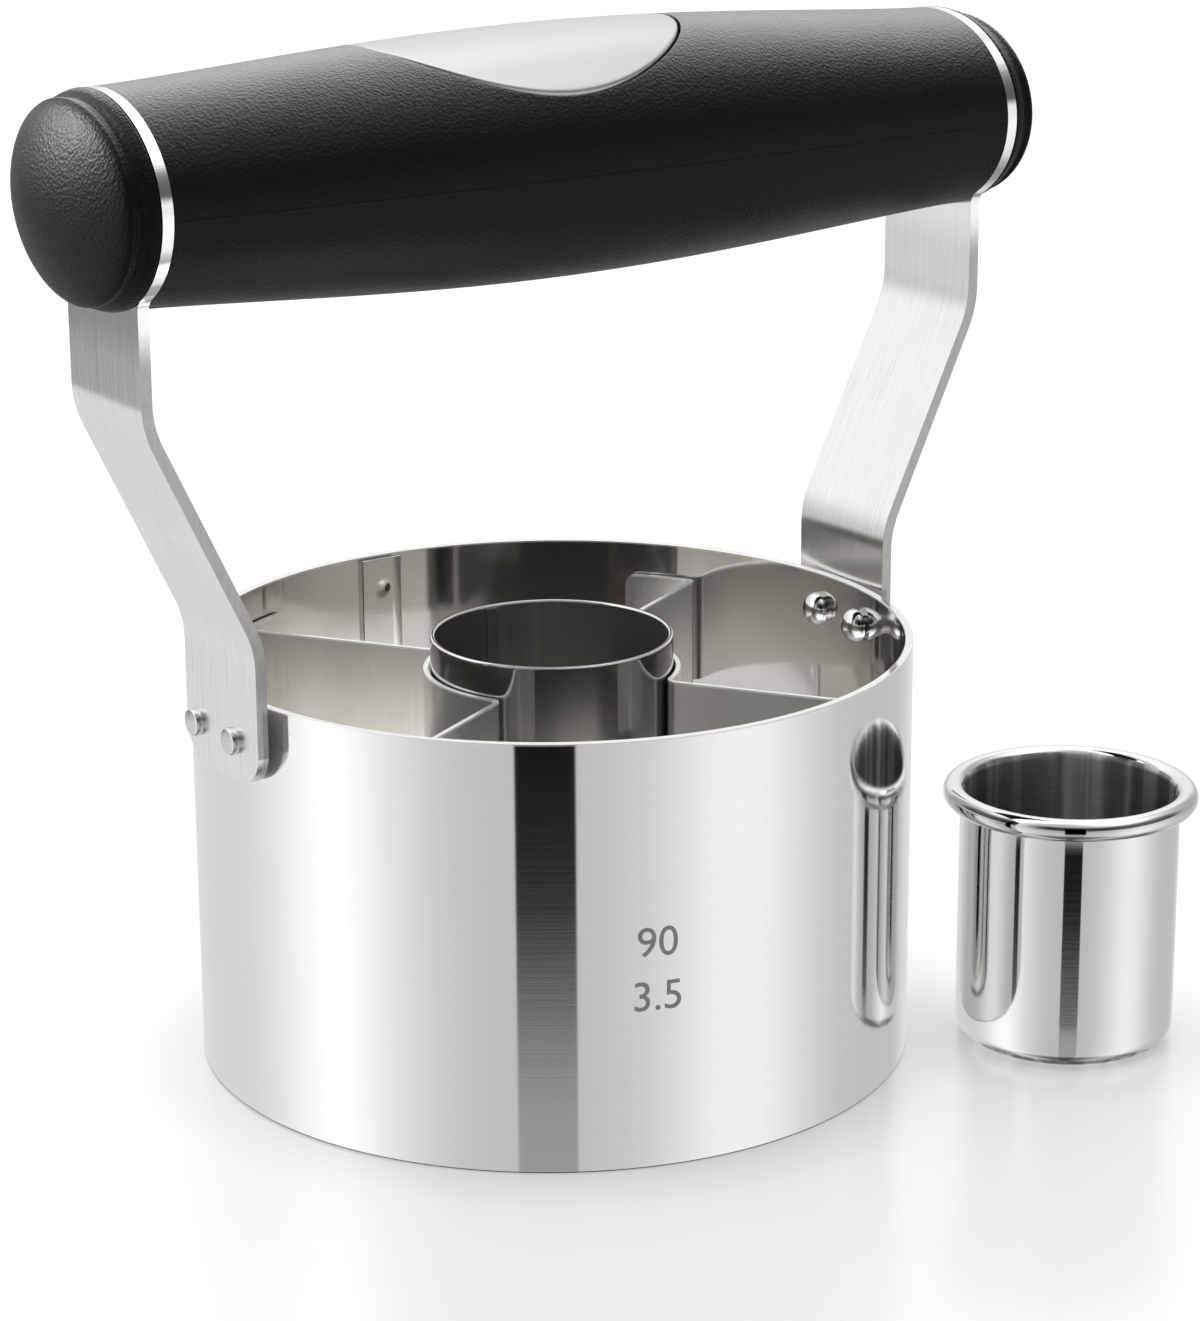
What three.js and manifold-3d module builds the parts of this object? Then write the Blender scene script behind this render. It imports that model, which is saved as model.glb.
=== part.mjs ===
// Doughnut cutter: a steel cutting ring with a hole tube held by two bent strips, two riveted
// strap brackets that carry a barrel grip, and a loose hole cup that stands beside the ring.
// Millimetres, +Z up. The ring's axis is Z, its cutting edge lies on z = 0, the grip runs along X.
import * as THREE from "three";
import { mergeVertices } from "three/addons/utils/BufferGeometryUtils.js";
import Module from "manifold-3d";

const wasm = await Module();
wasm.setup();

// Clearance between two pieces that touch on the real object
const SEAT_GAP = 0.3;

// Cutting ring
const RING_OD = 90;
const RING_HEIGHT = 53;
const RING_WALL = 1;
const EDGE_LAND = 0.4; // flat left at the foot of the ground cutting edge
const EDGE_BEVEL = 1.2; // height of the bevel ground on the inside
const LAP_WIDTH = 6; // overlap of the ring's rolled ends, welded inside the wall
const LAP_STEP = 0.6; // how far the lap stands in from the wall
const LAP_DROP = 0.4; // from the rim down to the lap
const LAP_BEARING = 88.5; // degrees, middle of the lap

// Hole tube, flush with the ring at both ends
const TUBE_OD = 30.4;
const TUBE_WALL = 0.6;
const TUBE_LAND = 0.3;

// Strips that hold the tube in the ring
const STRIP_GAUGE = 0.6;
const STRIP_HEIGHT = 14.5;
const STRIP_DROP = 4.3; // from the rim down to the strip's top edge
const STRIP_WRAP = 84; // degrees of the tube that one strip hugs
const STRIP_BEARING = -13; // degrees, middle of the right strip's wrap
const STRIP_BEND = 1.2; // centre-line radius of its sharp bends
const TAB_LENGTH = 8.5;
const TAB_CORNER = 1.6;

// Strap brackets
const BRACKET_GAUGE = 1.4;
const BRACKET_WIDTH = 17.5;
const BRACKET_CORNER = 4.5;
const BRACKET_BEND = 12; // centre-line radius
const BRACKET_TAIL = 4.7; // from the rivets down to the bracket's lower end
const LOWER_BEND_RISE = 7.9; // above the rim
const UPPER_BEND_RISE = 27.8; // above the lower bend
const HANDLE_RISE = 24.8; // grip axis above the upper bend
const NECK_RADIUS = 2; // fillet between the strap and its oval end plate

// Rivets
const RIVET_SHANK = 2.4;
const RIVET_PITCH = 9;
const RIVET_EDGE = 2.45; // first rivet in from the strap's edge
const RIVET_DROP = 4.8; // below the rim
const BUTTON_DIAMETER = 3.3;
const BUTTON_HEIGHT = 0.9;
const BUTTON_CHAMFER = 0.25;
const DOME_DIAMETER = 4.4;
const DOME_HEIGHT = 1.6;

// Grip: a soft barrel over a hard core
const GRIP_LENGTH = 116.6;
const GRIP_END_WIDTH = 31.4;
const GRIP_END_HEIGHT = 25;
const GRIP_MID_WIDTH = 35;
const GRIP_MID_HEIGHT = 30.4;
const GRIP_FULLNESS = 1.25; // power of the swell, lower is fuller towards the ends
const SLEEVE_WALL = 3.5; // at the ends of the grip

// Oval metal plate let into the top of the grip
const INLAY_LENGTH = 42.6;
const INLAY_WIDTH = 28;
const INLAY_GAUGE = 1.4;
const INLAY_SHIFT = -4.3; // along the grip

// End caps
const CAP_FLANGE = 2.2;
const CAP_DRAFT = 0.6;
const CAP_GROOVE_WIDTH = 1.1;
const CAP_GROOVE_DEPTH = 0.5;
const CAP_DOME = 3.5;
const CAP_POCKET_DEPTH = 3;
const CAP_WALL = 3.6;
const PEG_DIAMETER = 5;
const PEG_BITE = 9; // how far the cap's peg reaches into the core

// Screws that hold the end plates to the core
const SCREW_SHANK = 3.5;
const SCREW_REACH = 14;
const SCREW_TIP = 3;
const SCREW_PITCH = 16;
const SCREW_HEAD_DIAMETER = 6.5;
const SCREW_HEAD_HEIGHT = 2.2;

// Hole cup with a rolled rim
const CUP_OD = 27.6;
const CUP_HEIGHT = 33.4;
const CUP_WALL = 0.6;
const CUP_FOOT_RADIUS = 2.2;
const CUP_CURL_RADIUS = 1.4; // outside of the curl
const CUP_CURL_END = -120; // degrees, where the curled edge stops
const CUP_GAP = 4.2; // between the ring and the cup's rim
const CUP_BEARING = -35; // degrees, from the ring's axis

// Facets
const RING_FACETS = 72;
const TUBE_FACETS = 48;
const CUP_FACETS = 44;
const OVAL_FACETS = 40;
const BARREL_STEPS = 16;
const RIVET_FACETS = 16;
const SCREW_FACETS = 12;
const HOLE_FACETS = 16;
const BEND_STEP = THREE.MathUtils.degToRad(10);
const CORNER_STEPS = 5;
const DOME_STEPS = 6;
const CURL_STEPS = 8;
const FOOT_STEPS = 4;
const MERGE_TOLERANCE = 1e-4;
const HALVINGS = 40; // of the search for the neck fillet

const QUARTER_TURN = Math.PI / 2;
const { degToRad } = THREE.MathUtils;

// Sizes worked out from the driving dimensions
const RING_RADIUS = RING_OD / 2;
const RING_BORE = RING_RADIUS - RING_WALL;
const TUBE_RADIUS = TUBE_OD / 2;
const RIVET_Z = RING_HEIGHT - RIVET_DROP;
const LOWER_BEND_Z = RING_HEIGHT + LOWER_BEND_RISE;
const UPPER_BEND_Z = LOWER_BEND_Z + UPPER_BEND_RISE;
const GRIP_Z = UPPER_BEND_Z + HANDLE_RISE;
const PLATE_INNER_X = GRIP_LENGTH / 2 + SEAT_GAP;
const PLATE_OUTER_X = PLATE_INNER_X + BRACKET_GAUGE;
const CAP_BASE_X = PLATE_OUTER_X + SEAT_GAP;
const STRAP_INNER_X = RING_RADIUS + SEAT_GAP;
const STRAP_OUTER_X = STRAP_INNER_X + BRACKET_GAUGE;
const END_OVAL = { y: GRIP_END_WIDTH / 2, z: GRIP_END_HEIGHT / 2 };
const MID_OVAL = { y: GRIP_MID_WIDTH / 2, z: GRIP_MID_HEIGHT / 2 };
const CORE_OVAL = { y: END_OVAL.y - SLEEVE_WALL - SEAT_GAP, z: END_OVAL.z - SLEEVE_WALL - SEAT_GAP };

// Finishes
const FINISHES = {
  brushedSteel: new THREE.MeshStandardMaterial({ color: 0xc4c5c4, metalness: 1, roughness: 0.32 }),
  polishedSteel: new THREE.MeshStandardMaterial({ color: 0xcfd0d0, metalness: 1, roughness: 0.14 }),
  softBlack: new THREE.MeshStandardMaterial({ color: 0x1b1b1c, metalness: 0, roughness: 0.6 }),
  hardBlack: new THREE.MeshStandardMaterial({ color: 0x232325, metalness: 0, roughness: 0.5 }),
};

// Geometry helpers

// Weld shared corners and drop the triangles that collapse with them
function weld(geometry) {
  const bare = geometry.clone();
  bare.deleteAttribute("normal");
  bare.deleteAttribute("uv");
  const welded = mergeVertices(bare, MERGE_TOLERANCE);
  const corners = welded.index.array;
  const kept = [];
  for (let i = 0; i < corners.length; i += 3) {
    const [a, b, c] = [corners[i], corners[i + 1], corners[i + 2]];
    if (a !== b && b !== c && c !== a) kept.push(a, b, c);
  }
  welded.setIndex(kept);
  return welded;
}

function toSolid(geometry) {
  const welded = weld(geometry);
  return new wasm.Manifold(new wasm.Mesh({
    numProp: 3,
    vertProperties: new Float32Array(welded.getAttribute("position").array),
    triVerts: new Uint32Array(welded.index.array),
  }));
}

function toGeometry(solid) {
  const { vertProperties, triVerts } = solid.getMesh();
  const geometry = new THREE.BufferGeometry();
  geometry.setAttribute("position", new THREE.BufferAttribute(vertProperties, 3));
  geometry.setIndex(new THREE.BufferAttribute(triVerts, 1));
  geometry.computeVertexNormals();
  return geometry;
}

const cut = (body, ...tools) =>
  toGeometry(tools.reduce((solid, tool) => solid.subtract(toSolid(tool)), toSolid(body)));

const join = (body, ...others) =>
  toGeometry(others.reduce((solid, other) => solid.add(toSolid(other)), toSolid(body)));

const common = (body, other) => toGeometry(toSolid(body).intersect(toSolid(other)));

// Revolve a profile of [radius, height] points about Z, listed anticlockwise
function revolve(profile, facets) {
  const points = profile.map(([radius, height]) => new THREE.Vector2(radius, height));
  return weld(new THREE.LatheGeometry(points, facets).rotateX(QUARTER_TURN));
}

// Points of an arc in a profile, both ends included
function arc(centreR, centreZ, radius, from, to, steps) {
  return Array.from({ length: steps + 1 }, (_, i) => {
    const angle = degToRad(from + ((to - from) * i) / steps);
    return [centreR + radius * Math.cos(angle), centreZ + radius * Math.sin(angle)];
  });
}

// Skin over rings of points that run anticlockwise about the direction of travel
function loft(rings) {
  const count = rings[0].length;
  const at = (ring, point) => ring * count + (point % count);
  const corners = [];
  for (let ring = 0; ring + 1 < rings.length; ring += 1) {
    for (let point = 0; point < count; point += 1) {
      const [a, b] = [at(ring, point), at(ring, point + 1)];
      const [d, c] = [at(ring + 1, point), at(ring + 1, point + 1)];
      corners.push(a, b, c, a, c, d);
    }
  }
  const last = rings.length - 1;
  for (let point = 1; point + 1 < count; point += 1) {
    corners.push(at(0, 0), at(0, point + 1), at(0, point));
    corners.push(at(last, 0), at(last, point), at(last, point + 1));
  }
  const geometry = new THREE.BufferGeometry().setFromPoints(rings.flat());
  geometry.setIndex(corners);
  return weld(geometry);
}

// An oval ring of points square to X
function ovalRing(x, halfWidth, halfHeight) {
  return Array.from({ length: OVAL_FACETS }, (_, i) => {
    const angle = (2 * Math.PI * i) / OVAL_FACETS;
    return new THREE.Vector3(x, halfWidth * Math.cos(angle), halfHeight * Math.sin(angle));
  });
}

const ovalBar = (fromX, toX, oval) =>
  loft([ovalRing(fromX, oval.y, oval.z), ovalRing(toX, oval.y, oval.z)]);

// A round bar along X, used for holes, shanks and pegs
function barAlongX(diameter, fromX, toX, y, z, facets) {
  const bar = new THREE.CylinderGeometry(diameter / 2, diameter / 2, toX - fromX, facets);
  return bar.rotateZ(QUARTER_TURN).translate((fromX + toX) / 2, y, z);
}

// Path of a bent sheet in its own plane: lines and arcs laid end to end
function bendPath(start, heading, moves) {
  const legs = [];
  let [x, y] = start;
  let s = 0;
  for (const { length, radius, turn } of moves) {
    const leg = { s, x, y, heading, length: length ?? radius * Math.abs(turn), radius, turn };
    legs.push(leg);
    ({ x, y, heading } = alongLeg(leg, leg.length));
    s += leg.length;
  }
  return { legs, length: s };
}

function alongLeg(leg, distance) {
  if (!leg.turn) {
    return {
      x: leg.x + distance * Math.cos(leg.heading),
      y: leg.y + distance * Math.sin(leg.heading),
      heading: leg.heading,
    };
  }
  const side = Math.sign(leg.turn);
  const heading = leg.heading + (side * distance) / leg.radius;
  return {
    x: leg.x + side * leg.radius * (Math.sin(heading) - Math.sin(leg.heading)),
    y: leg.y - side * leg.radius * (Math.cos(heading) - Math.cos(leg.heading)),
    heading,
  };
}

function pathPoint(path, s) {
  const leg = path.legs.findLast((candidate) => candidate.s <= s) ?? path.legs[0];
  return alongLeg(leg, s - leg.s);
}

// Distances along the path where the sheet needs a section: leg ends and steps round the bends
function pathStations(path) {
  return path.legs.flatMap((leg) => {
    const steps = leg.turn ? Math.ceil(Math.abs(leg.turn) / BEND_STEP) : 1;
    return Array.from({ length: steps }, (_, i) => leg.s + (leg.length * i) / steps);
  }).concat(path.length);
}

// Bend a flat blank along a path: halfWidth gives the blank's outline at each distance
function bentSheet(path, extraStations, halfWidth, gauge) {
  const stations = pathStations(path).concat(extraStations).sort((a, b) => a - b);
  const apart = stations.filter((s, i) => i === 0 || s - stations[i - 1] > MERGE_TOLERANCE);
  const rings = apart.map((s) => {
    const { x, y, heading } = pathPoint(path, s);
    const half = halfWidth(s);
    const [nx, ny] = [(-Math.sin(heading) * gauge) / 2, (Math.cos(heading) * gauge) / 2];
    return [[1, -1], [1, 1], [-1, 1], [-1, -1]].map(
      ([face, edge]) => new THREE.Vector3(x + face * nx, y + face * ny, edge * half),
    );
  });
  return loft(rings);
}

// How much a rounded corner takes off the half width at a distance from the sheet's end
function cornerLoss(distance, radius) {
  if (distance >= radius) return 0;
  return radius - Math.sqrt(radius ** 2 - (radius - distance) ** 2);
}

function cornerStations(radius) {
  return Array.from({ length: CORNER_STEPS + 1 }, (_, i) =>
    radius * (1 - Math.cos((QUARTER_TURN * i) / CORNER_STEPS)));
}

// Pieces

// A thin round wall with its foot ground to an edge on the inside
function cutterWall(radius, wall, land, facets) {
  const bore = radius - wall;
  const profile = [
    [radius, 0],
    [radius, RING_HEIGHT],
    [bore, RING_HEIGHT],
    [bore, EDGE_BEVEL],
    [radius - land, 0],
    [radius, 0],
  ];
  return revolve(profile, facets);
}

// Rivet places on the right-hand bracket; the left-hand end is the same end turned round
const FIRST_RIVET_Y = RIVET_EDGE - BRACKET_WIDTH / 2;
const RIVET_YS = [FIRST_RIVET_Y, FIRST_RIVET_Y + RIVET_PITCH];
const RIVET_HOLE = RIVET_SHANK + 2 * SEAT_GAP;

// The lap of the ring's rolled ends: a curved layer that is let halfway into the wall
function ringLap() {
  const gauge = LAP_STEP + RING_WALL / 2;
  const radius = RING_BORE - LAP_STEP + gauge / 2;
  const turn = LAP_WIDTH / radius;
  const start = degToRad(LAP_BEARING) - turn / 2;
  const foot = [radius * Math.cos(start), radius * Math.sin(start)];
  const path = bendPath(foot, start + QUARTER_TURN, [{ radius, turn }]);
  const [low, high] = [EDGE_BEVEL, RING_HEIGHT - LAP_DROP];
  const halfWidth = () => (high - low) / 2;
  return bentSheet(path, [], halfWidth, gauge).translate(0, 0, (low + high) / 2);
}

function cutterRing() {
  const wall = join(cutterWall(RING_RADIUS, RING_WALL, EDGE_LAND, RING_FACETS), ringLap());
  const reach = STRAP_OUTER_X;
  const depth = RING_BORE - BRACKET_WIDTH / 2;
  const holes = RIVET_YS.flatMap((y) => {
    const right = barAlongX(RIVET_HOLE, depth, reach, y, RIVET_Z, HOLE_FACETS);
    return [right, right.clone().rotateZ(Math.PI)];
  });
  return cut(wall, ...holes);
}

// One strip: tab on the wall, leg, wrap round the tube, leg, tab on the wall
function tubeStrip() {
  const wrapRadius = TUBE_RADIUS + SEAT_GAP + STRIP_GAUGE / 2;
  const wallRadius = RING_BORE - SEAT_GAP - STRIP_GAUGE / 2;
  const legOffset = STRIP_BEND;
  const tabCentre = legOffset + STRIP_BEND;
  const legEnd = Math.sqrt((wallRadius - STRIP_BEND) ** 2 - tabCentre ** 2);
  const lean = Math.atan2(tabCentre, legEnd);
  const halfWrap = degToRad(STRIP_WRAP / 2);
  const leg = { length: legEnd - wrapRadius - STRIP_BEND };
  const tabTurn = TAB_LENGTH / wallRadius;
  const start = halfWrap + lean + tabTurn;
  const path = bendPath(
    [wallRadius * Math.cos(start), -wallRadius * Math.sin(start)],
    QUARTER_TURN - start,
    [
      { radius: wallRadius, turn: tabTurn },
      { radius: STRIP_BEND, turn: QUARTER_TURN + lean },
      leg,
      { radius: STRIP_BEND, turn: -QUARTER_TURN },
      { radius: wrapRadius, turn: 2 * halfWrap },
      { radius: STRIP_BEND, turn: -QUARTER_TURN },
      leg,
      { radius: STRIP_BEND, turn: QUARTER_TURN + lean },
      { radius: wallRadius, turn: tabTurn },
    ],
  );
  const corners = cornerStations(TAB_CORNER);
  const halfWidth = (s) =>
    STRIP_HEIGHT / 2 - cornerLoss(Math.min(s, path.length - s), TAB_CORNER);
  const extra = corners.flatMap((s) => [s, path.length - s]);
  const middleZ = RING_HEIGHT - STRIP_DROP - STRIP_HEIGHT / 2;
  return bentSheet(path, extra, halfWidth, STRIP_GAUGE).translate(0, 0, middleZ);
}

// Where the neck fillet leaves the end plate's oval, as an angle round the oval
function neckAngle(half) {
  let [low, high] = [-QUARTER_TURN, 0];
  for (let i = 0; i < HALVINGS; i += 1) {
    const angle = (low + high) / 2;
    const { y } = ovalOffset(angle, NECK_RADIUS);
    if (y < half + NECK_RADIUS) low = angle;
    else high = angle;
  }
  return low;
}

// A point at a distance outside the end plate's oval
function ovalOffset(angle, distance) {
  const normal = new THREE.Vector2(Math.cos(angle) / END_OVAL.y, Math.sin(angle) / END_OVAL.z);
  normal.normalize();
  return {
    y: END_OVAL.y * Math.cos(angle) + distance * normal.x,
    z: END_OVAL.z * Math.sin(angle) + distance * normal.y,
  };
}

// The strap's half width at a height above the grip's axis, in the flat end plate
function plateHalfWidth(height, neck) {
  if (height >= neck.topZ) {
    return END_OVAL.y * Math.sqrt(Math.max(0, 1 - (height / END_OVAL.z) ** 2));
  }
  const rise = height - neck.centreZ;
  if (rise <= 0) return BRACKET_WIDTH / 2;
  return BRACKET_WIDTH / 2 + NECK_RADIUS - Math.sqrt(NECK_RADIUS ** 2 - rise ** 2);
}

// One bracket: riveted foot, two bends, and the oval plate that closes the grip's end
function bracket() {
  const gauge = BRACKET_GAUGE;
  const footX = STRAP_INNER_X + gauge / 2;
  const plateX = PLATE_INNER_X + gauge / 2;
  const slope = Math.atan2(plateX - footX, UPPER_BEND_RISE);
  const tangent = BRACKET_BEND * Math.tan(slope / 2);
  const footZ = RIVET_Z - BRACKET_TAIL;
  const topZ = GRIP_Z + END_OVAL.z;
  const path = bendPath([footX, footZ], QUARTER_TURN, [
    { length: LOWER_BEND_Z - footZ - tangent },
    { radius: BRACKET_BEND, turn: -slope },
    { length: UPPER_BEND_RISE / Math.cos(slope) - 2 * tangent },
    { radius: BRACKET_BEND, turn: slope },
    { length: topZ - UPPER_BEND_Z - tangent },
  ]);
  const heightAt = (s) => topZ - (path.length - s) - GRIP_Z;
  const stationAt = (height) => path.length - (topZ - GRIP_Z - height);
  const neckTurn = neckAngle(BRACKET_WIDTH / 2);
  const neck = {
    topZ: ovalOffset(neckTurn, 0).z,
    centreZ: ovalOffset(neckTurn, NECK_RADIUS).z,
  };
  const halfWidth = (s) =>
    plateHalfWidth(heightAt(s), neck) - cornerLoss(s, BRACKET_CORNER);
  const neckSteps = Array.from({ length: CORNER_STEPS + 1 }, (_, i) =>
    stationAt(neck.centreZ + ((neck.topZ - neck.centreZ) * i) / CORNER_STEPS));
  const ovalSteps = OVAL_FACETS / 2;
  const oval = Array.from({ length: ovalSteps + 1 }, (_, i) => {
    const angle = neckTurn + ((QUARTER_TURN - neckTurn) * i) / ovalSteps;
    return stationAt(END_OVAL.z * Math.sin(angle));
  });
  const extra = [...cornerStations(BRACKET_CORNER), ...neckSteps, ...oval];
  const strap = bentSheet(path, extra, halfWidth, gauge).rotateX(QUARTER_TURN);
  const rivetHoles = RIVET_YS.map((y) =>
    barAlongX(RIVET_HOLE, RING_BORE, STRAP_OUTER_X + gauge, y, RIVET_Z, HOLE_FACETS));
  const plateHoles = plateFasteners(0).map(({ diameter, y }) =>
    barAlongX(diameter, GRIP_LENGTH / 2, CAP_BASE_X, y, GRIP_Z, HOLE_FACETS));
  return cut(strap, ...rivetHoles, ...plateHoles);
}

// Holes for the two screws and the cap's peg, with their depths into the core
function plateFasteners(spare) {
  const gap = 2 * SEAT_GAP;
  return [
    { diameter: SCREW_SHANK + gap, y: -SCREW_PITCH / 2, depth: SCREW_REACH + spare },
    { diameter: SCREW_SHANK + gap, y: SCREW_PITCH / 2, depth: SCREW_REACH + spare },
    { diameter: PEG_DIAMETER + gap, y: 0, depth: PEG_BITE + spare },
  ];
}

// One rivet, along X: button head outside the strap, domed head inside the ring's wall
function rivet(y) {
  const shank = RIVET_SHANK / 2;
  const button = BUTTON_DIAMETER / 2;
  const dome = DOME_DIAMETER / 2;
  const wallEdge = Math.abs(y) + dome;
  const innerSeat = Math.sqrt(RING_BORE ** 2 - wallEdge ** 2) - SEAT_GAP;
  const outerSeat = STRAP_OUTER_X + SEAT_GAP;
  const top = outerSeat + BUTTON_HEIGHT;
  const domeRise = (angle) => [dome * Math.sin(angle), innerSeat - DOME_HEIGHT * Math.cos(angle)];
  const domeProfile = Array.from({ length: CORNER_STEPS + 1 }, (_, i) =>
    domeRise((QUARTER_TURN * i) / CORNER_STEPS));
  const profile = [
    ...domeProfile,
    [shank, innerSeat],
    [shank, outerSeat],
    [button, outerSeat],
    [button, top - BUTTON_CHAMFER],
    [button - BUTTON_CHAMFER, top],
    [0, top],
  ];
  return revolve(profile, RIVET_FACETS).rotateY(QUARTER_TURN).translate(0, y, RIVET_Z);
}

// One pan-head screw, along X, from the end plate into the core
function screw(y) {
  const seat = PLATE_OUTER_X + SEAT_GAP;
  const tip = GRIP_LENGTH / 2 - SCREW_REACH + SEAT_GAP;
  const head = SCREW_HEAD_DIAMETER / 2;
  const headRise = (angle) => [head * Math.cos(angle), seat + SCREW_HEAD_HEIGHT * Math.sin(angle)];
  const headProfile = Array.from({ length: CORNER_STEPS + 1 }, (_, i) =>
    headRise((QUARTER_TURN * i) / CORNER_STEPS));
  const profile = [
    [0, tip],
    [SCREW_SHANK / 2, tip + SCREW_TIP],
    [SCREW_SHANK / 2, seat],
    ...headProfile,
  ];
  return revolve(profile, SCREW_FACETS).rotateY(QUARTER_TURN).translate(0, y, GRIP_Z);
}

// The barrel's outer form about the X axis, drawn in by an inset
function barrel(inset) {
  const rings = Array.from({ length: BARREL_STEPS + 1 }, (_, i) => {
    const along = (2 * i) / BARREL_STEPS - 1;
    const swell = Math.cos(QUARTER_TURN * along) ** GRIP_FULLNESS;
    const half = (end, middle) => end + (middle - end) * swell - inset;
    const x = (along * GRIP_LENGTH) / 2;
    return ovalRing(x, half(END_OVAL.y, MID_OVAL.y), half(END_OVAL.z, MID_OVAL.z));
  });
  return loft(rings);
}

// Upright oval block that marks out the inlay
function inlayBlock(margin) {
  const outline = new THREE.Shape();
  const [halfLength, halfWidth] = [INLAY_LENGTH / 2 + margin, INLAY_WIDTH / 2 + margin];
  outline.absellipse(INLAY_SHIFT, 0, halfLength, halfWidth, 0, 2 * Math.PI);
  const depth = MID_OVAL.z + SEAT_GAP;
  return new THREE.ExtrudeGeometry(outline, {
    depth,
    bevelEnabled: false,
    curveSegments: OVAL_FACETS / 2,
  });
}

function inlayPlate() {
  const block = common(inlayBlock(0), barrel(0));
  return cut(block, barrel(INLAY_GAUGE)).translate(0, 0, GRIP_Z);
}

function gripSleeve() {
  const pocket = cut(inlayBlock(SEAT_GAP), barrel(INLAY_GAUGE + SEAT_GAP));
  const half = GRIP_LENGTH / 2;
  const boreOval = { y: CORE_OVAL.y + SEAT_GAP, z: CORE_OVAL.z + SEAT_GAP };
  const bore = ovalBar(-half - SEAT_GAP, half + SEAT_GAP, boreOval);
  return cut(barrel(0), pocket, bore).translate(0, 0, GRIP_Z);
}

function gripCore() {
  const half = GRIP_LENGTH / 2;
  const bar = ovalBar(-half, half, CORE_OVAL);
  const sockets = plateFasteners(SEAT_GAP).flatMap(({ diameter, y, depth }) => {
    const right = barAlongX(diameter, half - depth, half + SEAT_GAP, y, 0, HOLE_FACETS);
    return [right, right.clone().rotateZ(Math.PI)];
  });
  return cut(bar, ...sockets).translate(0, 0, GRIP_Z);
}

// One end cap: flange, shallow groove and dome, hollowed for the screw heads, with a peg
function endCap() {
  const ringAt = (offset, inset) =>
    ovalRing(CAP_BASE_X + offset, END_OVAL.y - inset, END_OVAL.z - inset);
  const grooveMiddle = CAP_FLANGE + CAP_GROOVE_WIDTH / 2;
  const domeFoot = CAP_FLANGE + CAP_GROOVE_WIDTH;
  const dome = Array.from({ length: DOME_STEPS + 1 }, (_, i) => {
    const spread = 1 - i / DOME_STEPS;
    return ovalRing(
      CAP_BASE_X + domeFoot + CAP_DOME * (1 - spread ** 2),
      (END_OVAL.y - CAP_DRAFT) * spread,
      (END_OVAL.z - CAP_DRAFT) * spread,
    );
  });
  const shell = loft([
    ringAt(0, 0),
    ringAt(CAP_FLANGE, CAP_DRAFT),
    ringAt(grooveMiddle, CAP_DRAFT + CAP_GROOVE_DEPTH),
    ...dome,
  ]);
  const pocketOval = { y: END_OVAL.y - CAP_WALL, z: END_OVAL.z - CAP_WALL };
  const pocket = ovalBar(CAP_BASE_X - SEAT_GAP, CAP_BASE_X + CAP_POCKET_DEPTH, pocketOval);
  const pegTip = GRIP_LENGTH / 2 - PEG_BITE + SEAT_GAP;
  const pegRoot = CAP_BASE_X + CAP_POCKET_DEPTH + CAP_DOME / 2;
  const peg = barAlongX(PEG_DIAMETER, pegTip, pegRoot, 0, 0, HOLE_FACETS);
  return join(cut(shell, pocket), peg).translate(0, 0, GRIP_Z);
}

// The cup's wall in section: round foot, straight side, and a rim curled outwards
function holeCup() {
  const radius = CUP_OD / 2;
  const bore = radius - CUP_WALL;
  const foot = CUP_FOOT_RADIUS;
  const curlR = bore + CUP_CURL_RADIUS;
  const curlZ = CUP_HEIGHT - CUP_CURL_RADIUS;
  const curlInner = CUP_CURL_RADIUS - CUP_WALL;
  const profile = [
    [0, 0],
    ...arc(radius - foot, foot, foot, -90, 0, FOOT_STEPS),
    ...arc(curlR, curlZ, curlInner, 180, CUP_CURL_END, CURL_STEPS),
    ...arc(curlR, curlZ, CUP_CURL_RADIUS, CUP_CURL_END, 180, CURL_STEPS),
    ...arc(radius - foot, foot, foot - CUP_WALL, 0, -90, FOOT_STEPS),
    [0, CUP_WALL],
  ];
  return revolve(profile, CUP_FACETS);
}

// Assembly
const doughnutCutter = new THREE.Group();

function addPiece(parent, name, geometry, finish) {
  const mesh = new THREE.Mesh(geometry, FINISHES[finish]);
  mesh.name = name;
  parent.add(mesh);
}

addPiece(doughnutCutter, "cutter_ring", cutterRing(), "brushedSteel");
const tubeWall = cutterWall(TUBE_RADIUS, TUBE_WALL, TUBE_LAND, TUBE_FACETS);
addPiece(doughnutCutter, "hole_tube", tubeWall, "polishedSteel");
addPiece(doughnutCutter, "grip_sleeve", gripSleeve(), "softBlack");
addPiece(doughnutCutter, "grip_core", gripCore(), "hardBlack");
addPiece(doughnutCutter, "inlay_plate", inlayPlate(), "polishedSteel");

// The right end as built, and the same end turned half round for the left
for (const [side, turn] of [["right", 0], ["left", Math.PI]]) {
  const end = new THREE.Group();
  end.rotation.z = turn;
  doughnutCutter.add(end);
  const facing = (y) => (y * Math.cos(turn) < 0 ? "front" : "back");
  addPiece(end, `bracket_${side}`, bracket(), "brushedSteel");
  for (const y of RIVET_YS) {
    addPiece(end, `rivet_${side}_${facing(y)}`, rivet(y), "polishedSteel");
  }
  for (const y of [-SCREW_PITCH / 2, SCREW_PITCH / 2]) {
    addPiece(end, `screw_${side}_${facing(y)}`, screw(y), "polishedSteel");
  }
  addPiece(end, `end_cap_${side}`, endCap(), "softBlack");
  const strip = new THREE.Group();
  strip.rotation.z = degToRad(STRIP_BEARING);
  end.add(strip);
  addPiece(strip, `tube_strip_${side}`, tubeStrip(), "polishedSteel");
}

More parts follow.
